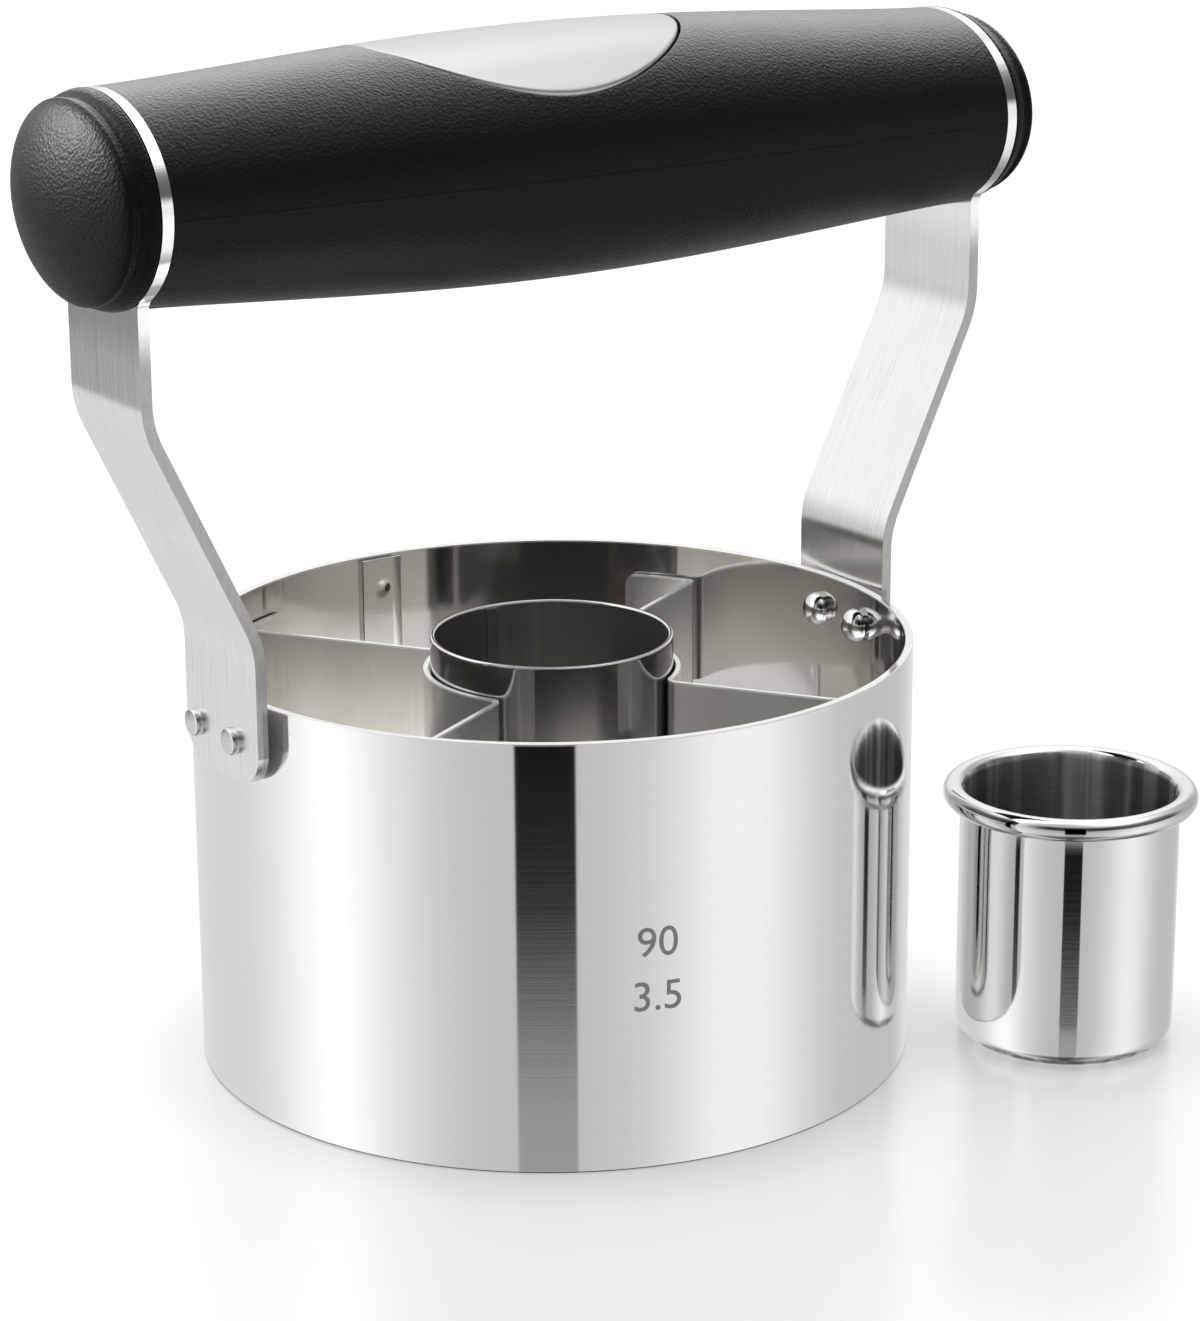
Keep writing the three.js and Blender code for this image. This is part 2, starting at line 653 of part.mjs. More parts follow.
// The cup stands loose beside the ring
const cupStand = new THREE.Group();
const cupRim = CUP_OD / 2 - CUP_WALL + 2 * CUP_CURL_RADIUS;
const cupReach = RING_RADIUS + CUP_GAP + cupRim;
const cupBearing = degToRad(CUP_BEARING);
cupStand.position.set(cupReach * Math.cos(cupBearing), cupReach * Math.sin(cupBearing), 0);
doughnutCutter.add(cupStand);
addPiece(cupStand, "hole_cup", holeCup(), "polishedSteel");

export default doughnutCutter;
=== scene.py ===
"""Dresses a doughnut cutter: steel ring and hole tube, strap brackets, barrel grip and loose cup."""
import math

import bmesh
import bpy
from bpy.props import FloatProperty, FloatVectorProperty, IntProperty, PointerProperty
from bpy.types import Operator, Panel, PropertyGroup
from mathutils import Matrix, Vector


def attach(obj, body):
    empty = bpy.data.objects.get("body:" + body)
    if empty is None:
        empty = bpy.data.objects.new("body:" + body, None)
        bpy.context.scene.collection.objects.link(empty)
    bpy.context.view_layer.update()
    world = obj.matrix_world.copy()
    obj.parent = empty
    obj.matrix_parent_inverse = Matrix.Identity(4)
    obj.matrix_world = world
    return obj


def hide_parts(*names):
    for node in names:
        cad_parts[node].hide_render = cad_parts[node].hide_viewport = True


bl_info = {
    "name": "Doughnut cutter",
    "version": (1, 0, 0),
    "blender": (4, 5, 0),
    "location": "View3D > Sidebar > Doughnut cutter",
    "description": "Builds the smooth, finished pieces of a doughnut cutter on its packed frame",
    "category": "Object",
}

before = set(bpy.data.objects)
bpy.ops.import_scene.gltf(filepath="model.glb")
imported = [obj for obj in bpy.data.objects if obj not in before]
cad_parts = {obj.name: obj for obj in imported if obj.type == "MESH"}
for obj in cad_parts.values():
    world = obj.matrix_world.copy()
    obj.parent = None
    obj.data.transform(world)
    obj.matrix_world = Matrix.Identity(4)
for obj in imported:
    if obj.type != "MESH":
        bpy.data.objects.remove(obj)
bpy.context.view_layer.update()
TURN = 2 * math.pi
QUARTER = math.pi / 2
SIDES = {"right": 0.0, "left": math.pi}  # how far a side's piece is turned from the right-hand one

# Small sizes in metres
SNUG = 0.00002  # gap left where one finished piece closes on another
BREAK = 0.0001  # rounding of a rolled wall's corners
SOFT_EDGE = 0.00025  # rounding of the tube's rim and of the strips' edges
STRAP_EDGE = 0.00018  # rounding of the straps' edges
END_RING = 0.0035  # width of the flat at the grip's ends
PAINTED_HIGHLIGHT_BAND = 0.00025  # depth of the painted highlight along an upper edge
PAINTED_SHADOW_BAND = 0.00016  # height of the painted shadow line along the ring's foot
MARK_PROUD = 0.00003  # how far the etched figures stand off the ring
WELD_HEIGHTS = (0.0485, 0.0345, 0.0205, 0.0065)  # spot welds up the ring's lap
WELD_RADIUS = 0.0016  # dent of a spot weld
HEAT_MARK = (0.0318, 0.0306, 0.0462)  # the one weld whose heat shows on the ring

# Colours of worked steel, and of a painted highlight
PAINTED_HIGHLIGHT = (0.97, 0.97, 0.965, 1)  # a painted highlight along an upper edge
BURNT = (0.20, 0.105, 0.045, 1)  # steel at the heat mark

# Camera, fitted to a frame of 1200 by 1321 pixels
CAMERA_TURN, CAMERA_RISE, CAMERA_ROLL = (math.radians(degrees) for degrees in (-33.793, 16.918, -0.315))
CAMERA_REACH = 0.47504  # metres from the point that it aims at
CAMERA_AIM = (0.006017, 0.04926)  # that point: how far right of the ring's axis, and how high
FRAME_HEIGHT = 1321
FOCAL_LENGTH = 3799.24  # pixels of that frame
SENSOR_HEIGHT = 36.0  # millimetres
AWAY = (-math.sin(CAMERA_TURN), math.cos(CAMERA_TURN), 0)  # level way from the camera
ASIDE = (math.cos(CAMERA_TURN), math.sin(CAMERA_TURN), 0)  # level way to the camera's right


# Properties

def length(name, description, default):
    """A size in metres that a user may change."""
    return FloatProperty(name=name, description=description, default=default, unit="LENGTH",
                         subtype="DISTANCE", precision=5)


def angle(name, description, degrees):
    """An angle that a user may change."""
    return FloatProperty(name=name, description=description, default=math.radians(degrees),
                         unit="ROTATION", subtype="ANGLE")


def colour(name, description, default):
    """A finish's base colour."""
    return FloatVectorProperty(name=name, description=description, default=default, subtype="COLOR",
                               size=3, min=0, max=1)


class RingSizes(PropertyGroup):
    """Sizes of the cutting ring, the hole tube and the strips between them."""

    diameter: length("Ring diameter", "Outside of the cutting ring", 0.090)
    height: length("Height", "Cutting edge to rim, for ring and tube", 0.053)
    wall: length("Ring wall", "Gauge of the ring's sheet", 0.001)
    land: length("Ring land", "Flat left at the foot of the ground edge", 0.0004)
    bevel: length("Edge bevel", "Height of the bevel ground inside the foot", 0.0012)
    tube_diameter: length("Tube diameter", "Outside of the hole tube", 0.0304)
    tube_wall: length("Tube wall", "Gauge of the tube", 0.0006)
    tube_land: length("Tube land", "Flat left at the foot of the tube", 0.0003)
    strip_gauge: length("Strip gauge", "Gauge of the strips that hold the tube", 0.0006)
    strip_height: length("Strip height", "Width of the strip", 0.0145)
    strip_drop: length("Strip drop", "From the rim down to the strip's top edge", 0.0043)
    strip_wrap: angle("Strip wrap", "How far one strip goes round the tube", 84)
    strip_bearing: angle("Strip bearing", "Middle of the right strip's wrap", -13)
    strip_bend: length("Strip bend", "Radius of the strip's sharp bends", 0.0012)
    tab_length: length("Tab length", "Part of the strip that lies on the ring", 0.0085)
    tab_corner: length("Tab corner", "Corner radius of the tabs", 0.0016)
    lap_width: length("Lap width", "Overlap of the ring's rolled ends", 0.006)
    lap_step: length("Lap step", "How far the lap stands in from the wall", 0.0006)
    lap_drop: length("Lap drop", "From the rim down to the lap", 0.0004)
    tube_lap: length("Tube lap width", "Overlap of the tube's rolled ends", 0.0016)
    tube_step: length("Tube lap step", "How far the tube's lap stands in", 0.00022)
    seam_bearing: angle("Seam bearing", "Where the ring and the tube are closed", 88.5)
    seat: length("Seat gap", "Clearance between pieces that touch", 0.0003)


class HandleSizes(PropertyGroup):
    """Sizes of the brackets, the rivets and the grip."""

    gauge: length("Bracket gauge", "Thickness of the strap", 0.0014)
    width: length("Bracket width", "Width of the strap", 0.0175)
    corner: length("Bracket corner", "Corner radius of the strap's foot", 0.0045)
    bend: length("Bend radius", "Centre-line radius of the strap's bends", 0.012)
    tail: length("Tail", "From the rivets to the strap's lower end", 0.0047)
    lower_rise: length("Lower bend", "Lower bend above the rim", 0.0079)
    upper_rise: length("Upper bend", "Upper bend above the lower one", 0.0278)
    handle_rise: length("Grip rise", "Grip axis above the upper bend", 0.0248)
    neck: length("Neck fillet", "Fillet between the strap and its end plate", 0.002)
    rivet_pitch: length("Rivet pitch", "Between the two rivets of a bracket", 0.009)
    rivet_edge: length("Rivet edge", "First rivet in from the strap's edge", 0.00245)
    rivet_drop: length("Rivet drop", "Rivets below the rim", 0.0048)
    button: length("Button head", "Diameter of the outer head", 0.0033)
    button_height: length("Button height", "Height of the outer head", 0.0009)
    dome: length("Domed head", "Diameter of the inner head", 0.0044)
    dome_height: length("Dome height", "Height of the inner head", 0.0016)
    grip_length: length("Grip length", "Length of the soft barrel", 0.1166)
    end_width: length("Grip end width", "Width of the oval at the grip's ends", 0.0314)
    end_height: length("Grip end height", "Height of the oval at the grip's ends", 0.025)
    mid_width: length("Grip middle width", "Width of the oval in the middle", 0.035)
    mid_height: length("Grip middle height", "Height of the oval in the middle", 0.0304)
    fullness: FloatProperty(name="Fullness", description="Power of the barrel's swell", default=1.25)
    inlay_length: length("Inlay length", "Length of the oval plate in the grip", 0.0426)
    inlay_width: length("Inlay width", "Width of the oval plate, in plan", 0.028)
    inlay_gauge: length("Inlay gauge", "Thickness of the plate", 0.0014)
    inlay_shift: length("Inlay shift", "Of the plate, along the grip", -0.0043)
    flange: length("Cap flange", "Straight part of the end cap", 0.0022)
    draft: length("Cap draft", "How much the flange tapers", 0.0006)
    groove: length("Cap groove", "Width of the groove round the cap", 0.0011)
    groove_depth: length("Groove depth", "Depth of that groove", 0.0005)
    cap_dome: length("Cap dome", "Height of the cap's dome", 0.0035)


class CupSizes(PropertyGroup):
    """Sizes of the loose cup and where it stands."""

    diameter: length("Cup diameter", "Outside of the cup's side", 0.0276)
    height: length("Cup height", "Overall, with the rolled rim", 0.0334)
    wall: length("Cup wall", "Gauge of the cup", 0.0006)
    foot: length("Foot radius", "Round between side and base", 0.0022)
    curl: length("Curl radius", "Outside radius of the rolled rim", 0.0014)
    curl_end: angle("Curl end", "Where the rolled edge stops", -120)
    gap: length("Cup gap", "Between the ring and the cup's rim", 0.0042)
    bearing: angle("Cup bearing", "Where the cup stands, from the ring's axis", -35)
    facets: IntProperty(name="Facets", description="Steps round the cup", default=192, min=24)


class Finishes(PropertyGroup):
    """Colours of the finishes."""

    ring: colour("Ring steel", "Brushed steel of the cutting ring", (0.82, 0.82, 0.815))
    inside: colour("Ring inside", "Bare steel inside the ring", (0.65, 0.64, 0.62))
    strap: colour("Strap steel", "Brushed steel of the brackets", (0.87, 0.867, 0.858))
    strip: colour("Strip steel", "Strips that hold the tube", (0.76, 0.745, 0.71))
    tube: colour("Tube steel", "Drawn steel of the hole tube", (0.58, 0.575, 0.56))
    cup: colour("Cup steel", "Polished steel of the cup", (0.78, 0.778, 0.77))
    inlay: colour("Inlay steel", "Satin oval plate", (0.62, 0.62, 0.62))
    rivet: colour("Rivet steel", "Rivets and screws", (0.74, 0.74, 0.735))
    grip: colour("Grip", "Soft black of the barrel", (0.0045, 0.0045, 0.0048))
    cap: colour("Cap", "Black of the end caps", (0.005, 0.005, 0.0053))
    core: colour("Core", "Moulded core inside the grip", (0.02, 0.02, 0.022))
    mark: colour("Mark", "Etched figures on the ring", (0.42, 0.42, 0.42))


# Node wiring

class Wire:
    """A socket of a node tree. Sums of wires and numbers add Math nodes."""

    def __init__(self, tree, socket=None):
        self.tree = tree
        self.socket = socket

    def add(self, kind, settings=None, inputs=None, out=0):
        """Adds a node: its settings first, then the values or wires of its sockets."""
        node = self.tree.nodes.new(kind)
        for key, value in (settings or {}).items():
            setattr(node, key, value)
        for key, value in (inputs or {}).items():
            if isinstance(value, Wire):
                self.tree.links.new(value.socket, node.inputs[key])
            else:
                node.inputs[key].default_value = value
        return Wire(self.tree, node.outputs[out] if node.outputs else None)

    def out(self, key):
        """Another output of the same node."""
        return Wire(self.tree, self.socket.node.outputs[key])

    def math(self, operation, first, second=0.0):
        """One Math node."""
        return self.add("ShaderNodeMath", {"operation": operation}, {0: first, 1: second})

    def vector(self, operation, first, second=(0, 0, 0), out="Value"):
        """One Vector Math node."""
        return self.add("ShaderNodeVectorMath", {"operation": operation}, {0: first, 1: second}, out=out)

    def __add__(self, other):
        return self.math("ADD", self, other)

    def __radd__(self, other):
        return self.math("ADD", other, self)

    def __sub__(self, other):
        return self.math("SUBTRACT", self, other)

    def __rsub__(self, other):
        return self.math("SUBTRACT", other, self)

    def __mul__(self, other):
        return self.math("MULTIPLY", self, other)

    def __rmul__(self, other):
        return self.math("MULTIPLY", other, self)

    def __pow__(self, other):
        return self.math("POWER", self, other)

    def __gt__(self, other):
        return self.math("GREATER_THAN", self, other)

    def __lt__(self, other):
        return self.math("LESS_THAN", self, other)


def new_finish(name):
    """An empty node material: the wire that adds nodes to it, and its object coordinates."""
    material = bpy.data.materials.new(name)
    material.use_nodes = True
    material.node_tree.nodes.clear()
    wire = Wire(material.node_tree)
    return wire, wire.add("ShaderNodeTexCoord", out="Object")


def close_finish(wire, sockets):
    """Ends a material in one Principled BSDF."""
    surface = wire.add("ShaderNodeBsdfPrincipled", None, sockets)
    wire.add("ShaderNodeOutputMaterial", None, {"Surface": surface})


def mixed(wire, factor, first, second):
    """One colour or another, by a factor."""
    return wire.add("ShaderNodeMix", {"data_type": "RGBA"}, {0: factor, 6: first, 7: second}, out=2)


def shaded(base, factor):
    """A base colour made lighter or darker."""
    return (*(min(1.0, channel * factor) for channel in base), 1)


def varied(wire, factor, base, dark, light):
    """A colour between two shades of a base, by a factor."""
    return mixed(wire, factor, shaded(base, dark), shaded(base, light))


def noise(wire, place, scale, stretch=(1, 1, 1), detail=2.0, roughness=0.5):
    """Noise on object coordinates, stretched along the axes."""
    vector = wire.add("ShaderNodeMapping", None, {"Vector": place, "Scale": stretch})
    return wire.add("ShaderNodeTexNoise", None,
                    {"Vector": vector, "Scale": scale, "Detail": detail, "Roughness": roughness})


def span(wire, value, low, high, start=0.0, end=1.0, kind="LINEAR"):
    """A value's range mapped to another, clamped."""
    return wire.add("ShaderNodeMapRange", {"interpolation_type": kind, "clamp": True},
                    {"Value": value, "From Min": low, "From Max": high, "To Min": start, "To Max": end})


def ease(wire, value, low, high, start=0.0, end=1.0):
    """A value's range mapped to another with soft ends, clamped."""
    return span(wire, value, low, high, start, end, "SMOOTHSTEP")


def relief(wire, height, distance, strength=1.0, under=None):
    """A bump that stands a distance high."""
    inputs = {"Height": height, "Distance": distance, "Strength": strength}
    if under is not None:
        inputs["Normal"] = under
    return wire.add("ShaderNodeBump", None, inputs)


def elevation(wire, place):
    """How high a place is."""
    return wire.add("ShaderNodeSeparateXYZ", None, {0: place}, out="Z")


def from_axis(wire, place, x=0.0, y=0.0):
    """How far a place is from an upright axis."""
    axes = wire.add("ShaderNodeSeparateXYZ", None, {0: place})
    return wire.math("SQRT", (axes - x) ** 2.0 + (axes.out("Y") - y) ** 2.0)


# Finishes

def ring_steel(sizes, base, inside):
    """Steel brushed round the outside, bare inside, with spot welds on the lap, one heat-tinted weld, a
    painted highlight along the rim and a painted shadow line along the foot.
    """
    wire, place = new_finish("brushed_ring")
    outside = from_axis(wire, place) > sizes.diameter / 2 - sizes.wall / 2
    within = 1 - outside
    height = elevation(wire, place)
    # Along the rim the colour is a painted highlight, with less metal.
    rim = height > sizes.height - PAINTED_HIGHLIGHT_BAND
    brush = noise(wire, place, 1.0, (26, 26, 5200), 3.0, 0.65)
    cloud = noise(wire, place, 38.0, detail=3.0)
    heat = ease(wire, wire.vector("DISTANCE", place, HEAT_MARK), 0.0011, 0.0034, 1.0, 0.0) * within
    bore = sizes.diameter / 2 - sizes.wall - sizes.lap_step
    seam = bore * math.cos(sizes.seam_bearing), bore * math.sin(sizes.seam_bearing)
    near, *others = [wire.vector("DISTANCE", place, (*seam, weld)) for weld in WELD_HEIGHTS]
    for other in others:
        near = wire.math("MINIMUM", near, other)
    bright = varied(wire, brush * 0.6 + cloud * 0.4, base, 0.95, 1.05)
    bare = varied(wire, cloud, inside, 0.9, 1.06)
    shade = mixed(wire, heat * 0.75, mixed(wire, outside, bare, bright), BURNT)
    # A painted shadow line along the foot, where the ring stands on the table.
    shade = mixed(wire, height < PAINTED_SHADOW_BAND, shade, shaded(base, 0.15))
    grain = relief(wire, brush * outside, 0.0000012)
    close_finish(wire, {
        "Base Color": mixed(wire, rim, shade, PAINTED_HIGHLIGHT), "Metallic": 0.96 + outside * 0.04 - rim * 0.4,
        "Roughness": 0.045 + brush * 0.03 + cloud * 0.015 + heat * 0.15,
        "Anisotropic": 0.9, "Anisotropic Rotation": 0.25,
        "Normal": relief(wire, ease(wire, near, 0.0, WELD_RADIUS) * within, 0.00008, 1.0, grain)})


def polished_steel(name, base, dull, lip, bore, x=0.0, y=0.0):
    """Drawn steel with faint lines and a painted highlight along its lip; in a bore about an upright axis it
    is duller, and its colour there is darker and streaked, partly streaks in the steel and partly painted
    shade and painted reflection.
    """
    wire, place = new_finish(name)
    radius = from_axis(wire, place, x, y)
    inside = radius < bore
    side = span(wire, radius, bore * 0.8, bore * 0.92)
    # Above the lip height the colour is a painted highlight, with less metal.
    rim = elevation(wire, place) > lip
    lines = noise(wire, place, 1.0, (40, 40, 2600), 2.0, 0.6)
    smear = noise(wire, place, 70.0, detail=4.0, roughness=0.6)
    streak = ease(wire, noise(wire, place, 1.0, (380, 380, 8), 2.0, 0.6), 0.42, 0.66)
    streak = 0.5 + (streak + lines * 0.3 - 0.65) * side
    # In the bore the colour is darker and streaked: partly streaks in the steel, partly painted shade and
    # painted reflection.
    streaked_and_shaded = varied(wire, streak, base, 1 - dull * 2.4, 1 + dull * 0.4)
    shade = mixed(wire, inside, varied(wire, smear, base, 0.95, 1.05), streaked_and_shaded)
    close_finish(wire, {
        "Base Color": mixed(wire, rim, shade, PAINTED_HIGHLIGHT), "Metallic": 1 - inside * 0.08 - rim * 0.4,
        "Roughness": 0.03 + smear * 0.04 + lines * 0.025 + inside * dull,
        "Anisotropic": 0.8, "Anisotropic Rotation": 0.25, "Normal": relief(wire, lines, 0.0000015)})


def strip_steel(base, top):
    """Rolled strip with its grain upright, duller than the tube, and a painted highlight along its upper
    edge.
    """
    wire, place = new_finish("rolled_strip")
    # Along the upper edge the colour is a painted highlight, with less metal.
    edge = elevation(wire, place) > top - PAINTED_HIGHLIGHT_BAND
    grain = noise(wire, place, 1.0, (1500, 1500, 45), 3.0, 0.65)
    smear = noise(wire, place, 85.0, detail=4.0, roughness=0.6)
    shade = varied(wire, grain * 0.6 + smear * 0.4, base, 0.88, 1.08)
    close_finish(wire, {
        "Base Color": mixed(wire, edge, shade, PAINTED_HIGHLIGHT), "Metallic": 0.78 - edge * 0.3,
        "Roughness": 0.1 + grain * 0.08 + smear * 0.06, "Normal": relief(wire, grain, 0.000006)})


def strap_steel(base, half_width, neck_z, foot_x, rim_z):
    """Steel brushed along the strap: a painted highlight over the end plate, darker sheared edges, dull
    behind the foot.
    """
    wire, place = new_finish("brushed_strap")
    axes = wire.add("ShaderNodeSeparateXYZ", None, {0: place})
    # Over the end plate the colour is mixed towards a painted highlight, and the steel is smoother.
    plate = ease(wire, axes.out("Z"), neck_z - 0.006, neck_z)
    sheared = (wire.math("ABSOLUTE", axes.out("Y")) > half_width - BREAK / 2) * (1 - plate)
    hidden = (wire.math("ABSOLUTE", axes) < foot_x) * (axes.out("Z") < rim_z)
    brush = noise(wire, place, 1.0, (90, 3400, 60), 3.0, 0.7)
    torn = noise(wire, place, 1.0, (2600, 1, 420), 3.0, 0.7)
    scratch = span(wire, noise(wire, place, 1.0, (160, 5200, 130), 2.0, 0.6), 0.60, 0.72)
    face = mixed(wire, plate * 0.7, varied(wire, brush - scratch * 0.4, base, 0.84, 1.1), PAINTED_HIGHLIGHT)
    edge = varied(wire, torn, base, 0.38, 0.72)
    close_finish(wire, {
        "Base Color": mixed(wire, sheared, face, edge), "Metallic": 1 - hidden * 0.7,
        "Roughness": 0.19 + brush * 0.08 + sheared * (0.1 + torn * 0.1) - plate * 0.1,
        "Anisotropic": 0.7, "Normal": relief(wire, brush - scratch * 0.3 + sheared * torn, 0.000008)})


def inlay_steel(base):
    """Satin steel of the blank oval plate."""
    wire, place = new_finish("satin_inlay")
    grain = noise(wire, place, 1.0, (300, 2600, 300), 3.0, 0.6)
    cloud = noise(wire, place, 60.0)
    close_finish(wire, {
        "Base Color": varied(wire, grain * 0.5 + cloud * 0.5, base, 0.98, 1.02), "Metallic": 1.0,
        "Roughness": 0.34 + cloud * 0.06, "Normal": relief(wire, grain, 0.0000015)})


def rivet_steel(base, ring_radius):
    """Rivet steel: pressed flat and satin outside the ring, bright on the domes inside it."""
    wire, place = new_finish("upset_rivet")
    outside = from_axis(wire, place) > ring_radius
    dents = noise(wire, place, 900.0, detail=3.0, roughness=0.6)
    close_finish(wire, {
        "Base Color": varied(wire, dents, base, 0.86, 1.1), "Metallic": 1.0,
        "Roughness": 0.06 + dents * 0.06 + outside * (0.1 + dents * 0.12),
        "Normal": relief(wire, dents, 0.00003)})


def soft_black(name, base, gloss, parting=None):
    """Soft-touch black with a fine moulded grain, and the mould's parting line if it has a height."""
    wire, place = new_finish(name)
    pebble = wire.add("ShaderNodeTexVoronoi", {"feature": "SMOOTH_F1"},
                      {"Vector": place, "Scale": 2500.0, "Smoothness": 0.5, "Randomness": 1.0})
    fine = noise(wire, place, 4200.0)
    cloud = noise(wire, place, 90.0, detail=3.0)
    bump = relief(wire, pebble + fine * 0.4, 0.00007, 0.8)
    if parting is not None:
        off = wire.math("ABSOLUTE", elevation(wire, place) - parting)
        bump = relief(wire, ease(wire, off, 0.00005, 0.00022, 1.0, 0.0), 0.00006, 0.8, bump)
    close_finish(wire, {
        "Base Color": varied(wire, cloud * 0.6 + fine * 0.4, base, 0.8, 1.3), "Specular IOR Level": gloss,
        "Roughness": 0.38 + cloud * 0.08 + fine * 0.08, "Normal": bump})


def core_black(base):
    """Plain moulded plastic of the hidden core."""
    wire, place = new_finish("moulded_core")
    cloud = noise(wire, place, 120.0)
    close_finish(wire, {"Base Color": varied(wire, cloud, base, 0.85, 1.2), "Roughness": 0.45 + cloud * 0.1})


def etched_mark(base):
    """Matt grey of the etched figures."""
    wire, place = new_finish("etched_mark")
    speck = noise(wire, place, 3000.0)
    close_finish(wire, {"Base Color": varied(wire, speck, base, 0.85, 1.15), "Metallic": 0.35,
                        "Roughness": 0.6 + speck * 0.1})


# Mesh helpers

def place_piece(name, mesh, material, nodes, body="cutter"):
    """Puts a finished mesh on its body, in place of its nodes if it has any."""
    mesh.name = name
    mesh.materials.clear()
    mesh.materials.append(material)
    piece = bpy.data.objects.new(name, mesh)
    bpy.context.scene.collection.objects.link(piece)
    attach(piece, body)
    if nodes:
        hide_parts(*nodes)


def settle(mesh, sharp_degrees=35):
    """Merges doubles, turns the faces outwards and shades them smooth."""
    work = bmesh.new()
    work.from_mesh(mesh)
    bmesh.ops.remove_doubles(work, verts=work.verts, dist=1e-7)
    bmesh.ops.recalc_face_normals(work, faces=work.faces)
    work.to_mesh(mesh)
    work.free()
    mesh.shade_smooth()
    mesh.set_sharp_from_angle(angle=math.radians(sharp_degrees))
    return mesh


def mesh_from(name, points, faces):
    """A mesh from points and faces."""
    mesh = bpy.data.meshes.new(name)
    mesh.from_pydata(points, [], faces)
    return mesh


def arc(centre, radius, start, end, steps):
    """Points of an arc in a plane, both ends included."""
    return [(centre[0] + radius * math.cos(math.radians(start + (end - start) * i / steps)),
             centre[1] + radius * math.sin(math.radians(start + (end - start) * i / steps)))
            for i in range(steps + 1)]


def oval(wide, tall, count):
    """Points round an oval about the origin, by its half sizes."""
    return [(wide * math.cos(TURN * k / count), tall * math.sin(TURN * k / count)) for k in range(count)]


def evaluated(thing, name):
    """The plain mesh of an object with its modifiers applied; the object goes."""
    graph = bpy.context.evaluated_depsgraph_get()
    mesh = bpy.data.meshes.new_from_object(thing.evaluated_get(graph))
    thing.modifiers.clear()
    bpy.data.objects.remove(thing)
    mesh.name = name
    return mesh


def node_object(name, mesh, tree, values):
    """An object with a geometry tree on it, its named inputs set by identifier."""
    thing = bpy.data.objects.new(name, mesh)
    bpy.context.scene.collection.objects.link(thing)
    modifier = thing.modifiers.new(name, "NODES")
    modifier.node_group = tree
    for item in tree.interface.items_tree:
        if item.item_type == "SOCKET" and item.in_out == "INPUT" and item.name in values:
            modifier[item.identifier] = values[item.name]
    return thing


def new_tree(name, inputs):
    """An empty geometry tree with named inputs."""
    tree = bpy.data.node_groups.new(name, "GeometryNodeTree")
    tree.interface.new_socket("Geometry", in_out="INPUT", socket_type="NodeSocketGeometry")
    for label, kind in inputs.items():
        tree.interface.new_socket(label, in_out="INPUT", socket_type=kind)
    tree.interface.new_socket("Geometry", in_out="OUTPUT", socket_type="NodeSocketGeometry")
    wire = Wire(tree)
    return tree, wire, wire.add("NodeGroupInput", out="Geometry")


def end_tree(wire, made, finish):
    """Ends a tree with real meshes that carry their finish."""
    real = wire.add("GeometryNodeRealizeInstances", None, {"Geometry": made})
    painted = wire.add("GeometryNodeSetMaterial", None, {"Geometry": real, "Material": finish})
    wire.add("NodeGroupOutput", None, {"Geometry": painted})


def lathe_tree():
    """Turns a section about the axis: the section runs along a circular rail."""
    tree, wire, given = new_tree("Turned section", {
        "Rail Radius": "NodeSocketFloat", "Facets": "NodeSocketInt", "Finish": "NodeSocketMaterial"})
    section = wire.add("GeometryNodeMeshToCurve", None, {"Mesh": given})
    rail = wire.add("GeometryNodeCurvePrimitiveCircle", {"mode": "RADIUS"},
                    {"Resolution": given.out("Facets"), "Radius": given.out("Rail Radius")})
    wall = wire.add("GeometryNodeCurveToMesh", None, {"Curve": rail, "Profile Curve": section})
    end_tree(wire, wall, given.out("Finish"))
    return tree


def scatter_tree():
    """Sets one shape on every point, turned as the point says."""
    tree, wire, given = new_tree("Heads on points", {
        "Head": "NodeSocketObject", "Finish": "NodeSocketMaterial"})
    head = wire.add("GeometryNodeObjectInfo", None, {"Object": given.out("Head")}, out="Geometry")
    turn = wire.add("GeometryNodeInputNamedAttribute", {"data_type": "FLOAT_VECTOR"}, {"Name": "turn"})
    spin = wire.add("FunctionNodeEulerToRotation", None, {"Euler": turn})
    heads = wire.add("GeometryNodeInstanceOnPoints", None,
                     {"Points": given, "Instance": head, "Rotation": spin})
    end_tree(wire, heads, given.out("Finish"))
    return tree


def turned(name, section, facets, material, closed=True):
    """A section of (radius, height) points turned about Z."""
    rail = max(radius for radius, _ in section)
    count = len(section)
    mesh = bpy.data.meshes.new(name)
    points = [(radius - rail, -height, 0) for radius, height in section]
    edges = [(i, i + 1) for i in range(count - 1)] + ([(count - 1, 0)] if closed else [])
    mesh.from_pydata(points, edges, [])
    tree = bpy.data.node_groups.get("Turned section") or lathe_tree()
    thing = node_object(name, mesh, tree, {"Rail Radius": rail, "Facets": facets, "Finish": material})
    return settle(evaluated(thing, name))


def rounded(section, radii, steps=4):
    """A closed section with its corners rounded and a point set close to each round, to hold the flats."""
    out = []
    count = len(section)
    for i, (corner, radius) in enumerate(zip(section, radii)):
        before, here, after = Vector(section[i - 1]), Vector(corner), Vector(section[(i + 1) % count])
        inward, outward = (before - here).normalized(), (after - here).normalized()
        half = inward.angle(outward) / 2
        reach = radius / math.tan(half)
        middle = here + (inward + outward).normalized() * (radius / math.sin(half))
        start, end = here + inward * reach, here + outward * reach
        out.append(tuple(start + inward * min(radius, 0.4 * ((before - here).length - reach))))
        first, last = start - middle, end - middle
        sweep = first.angle_signed(last)
        for k in range(steps + 1):
            a = -sweep * k / steps
            out.append(tuple(middle + Vector((first.x * math.cos(a) - first.y * math.sin(a),
                                              first.x * math.sin(a) + first.y * math.cos(a)))))
        out.append(tuple(end + outward * min(radius, 0.4 * ((after - here).length - reach))))
    return out


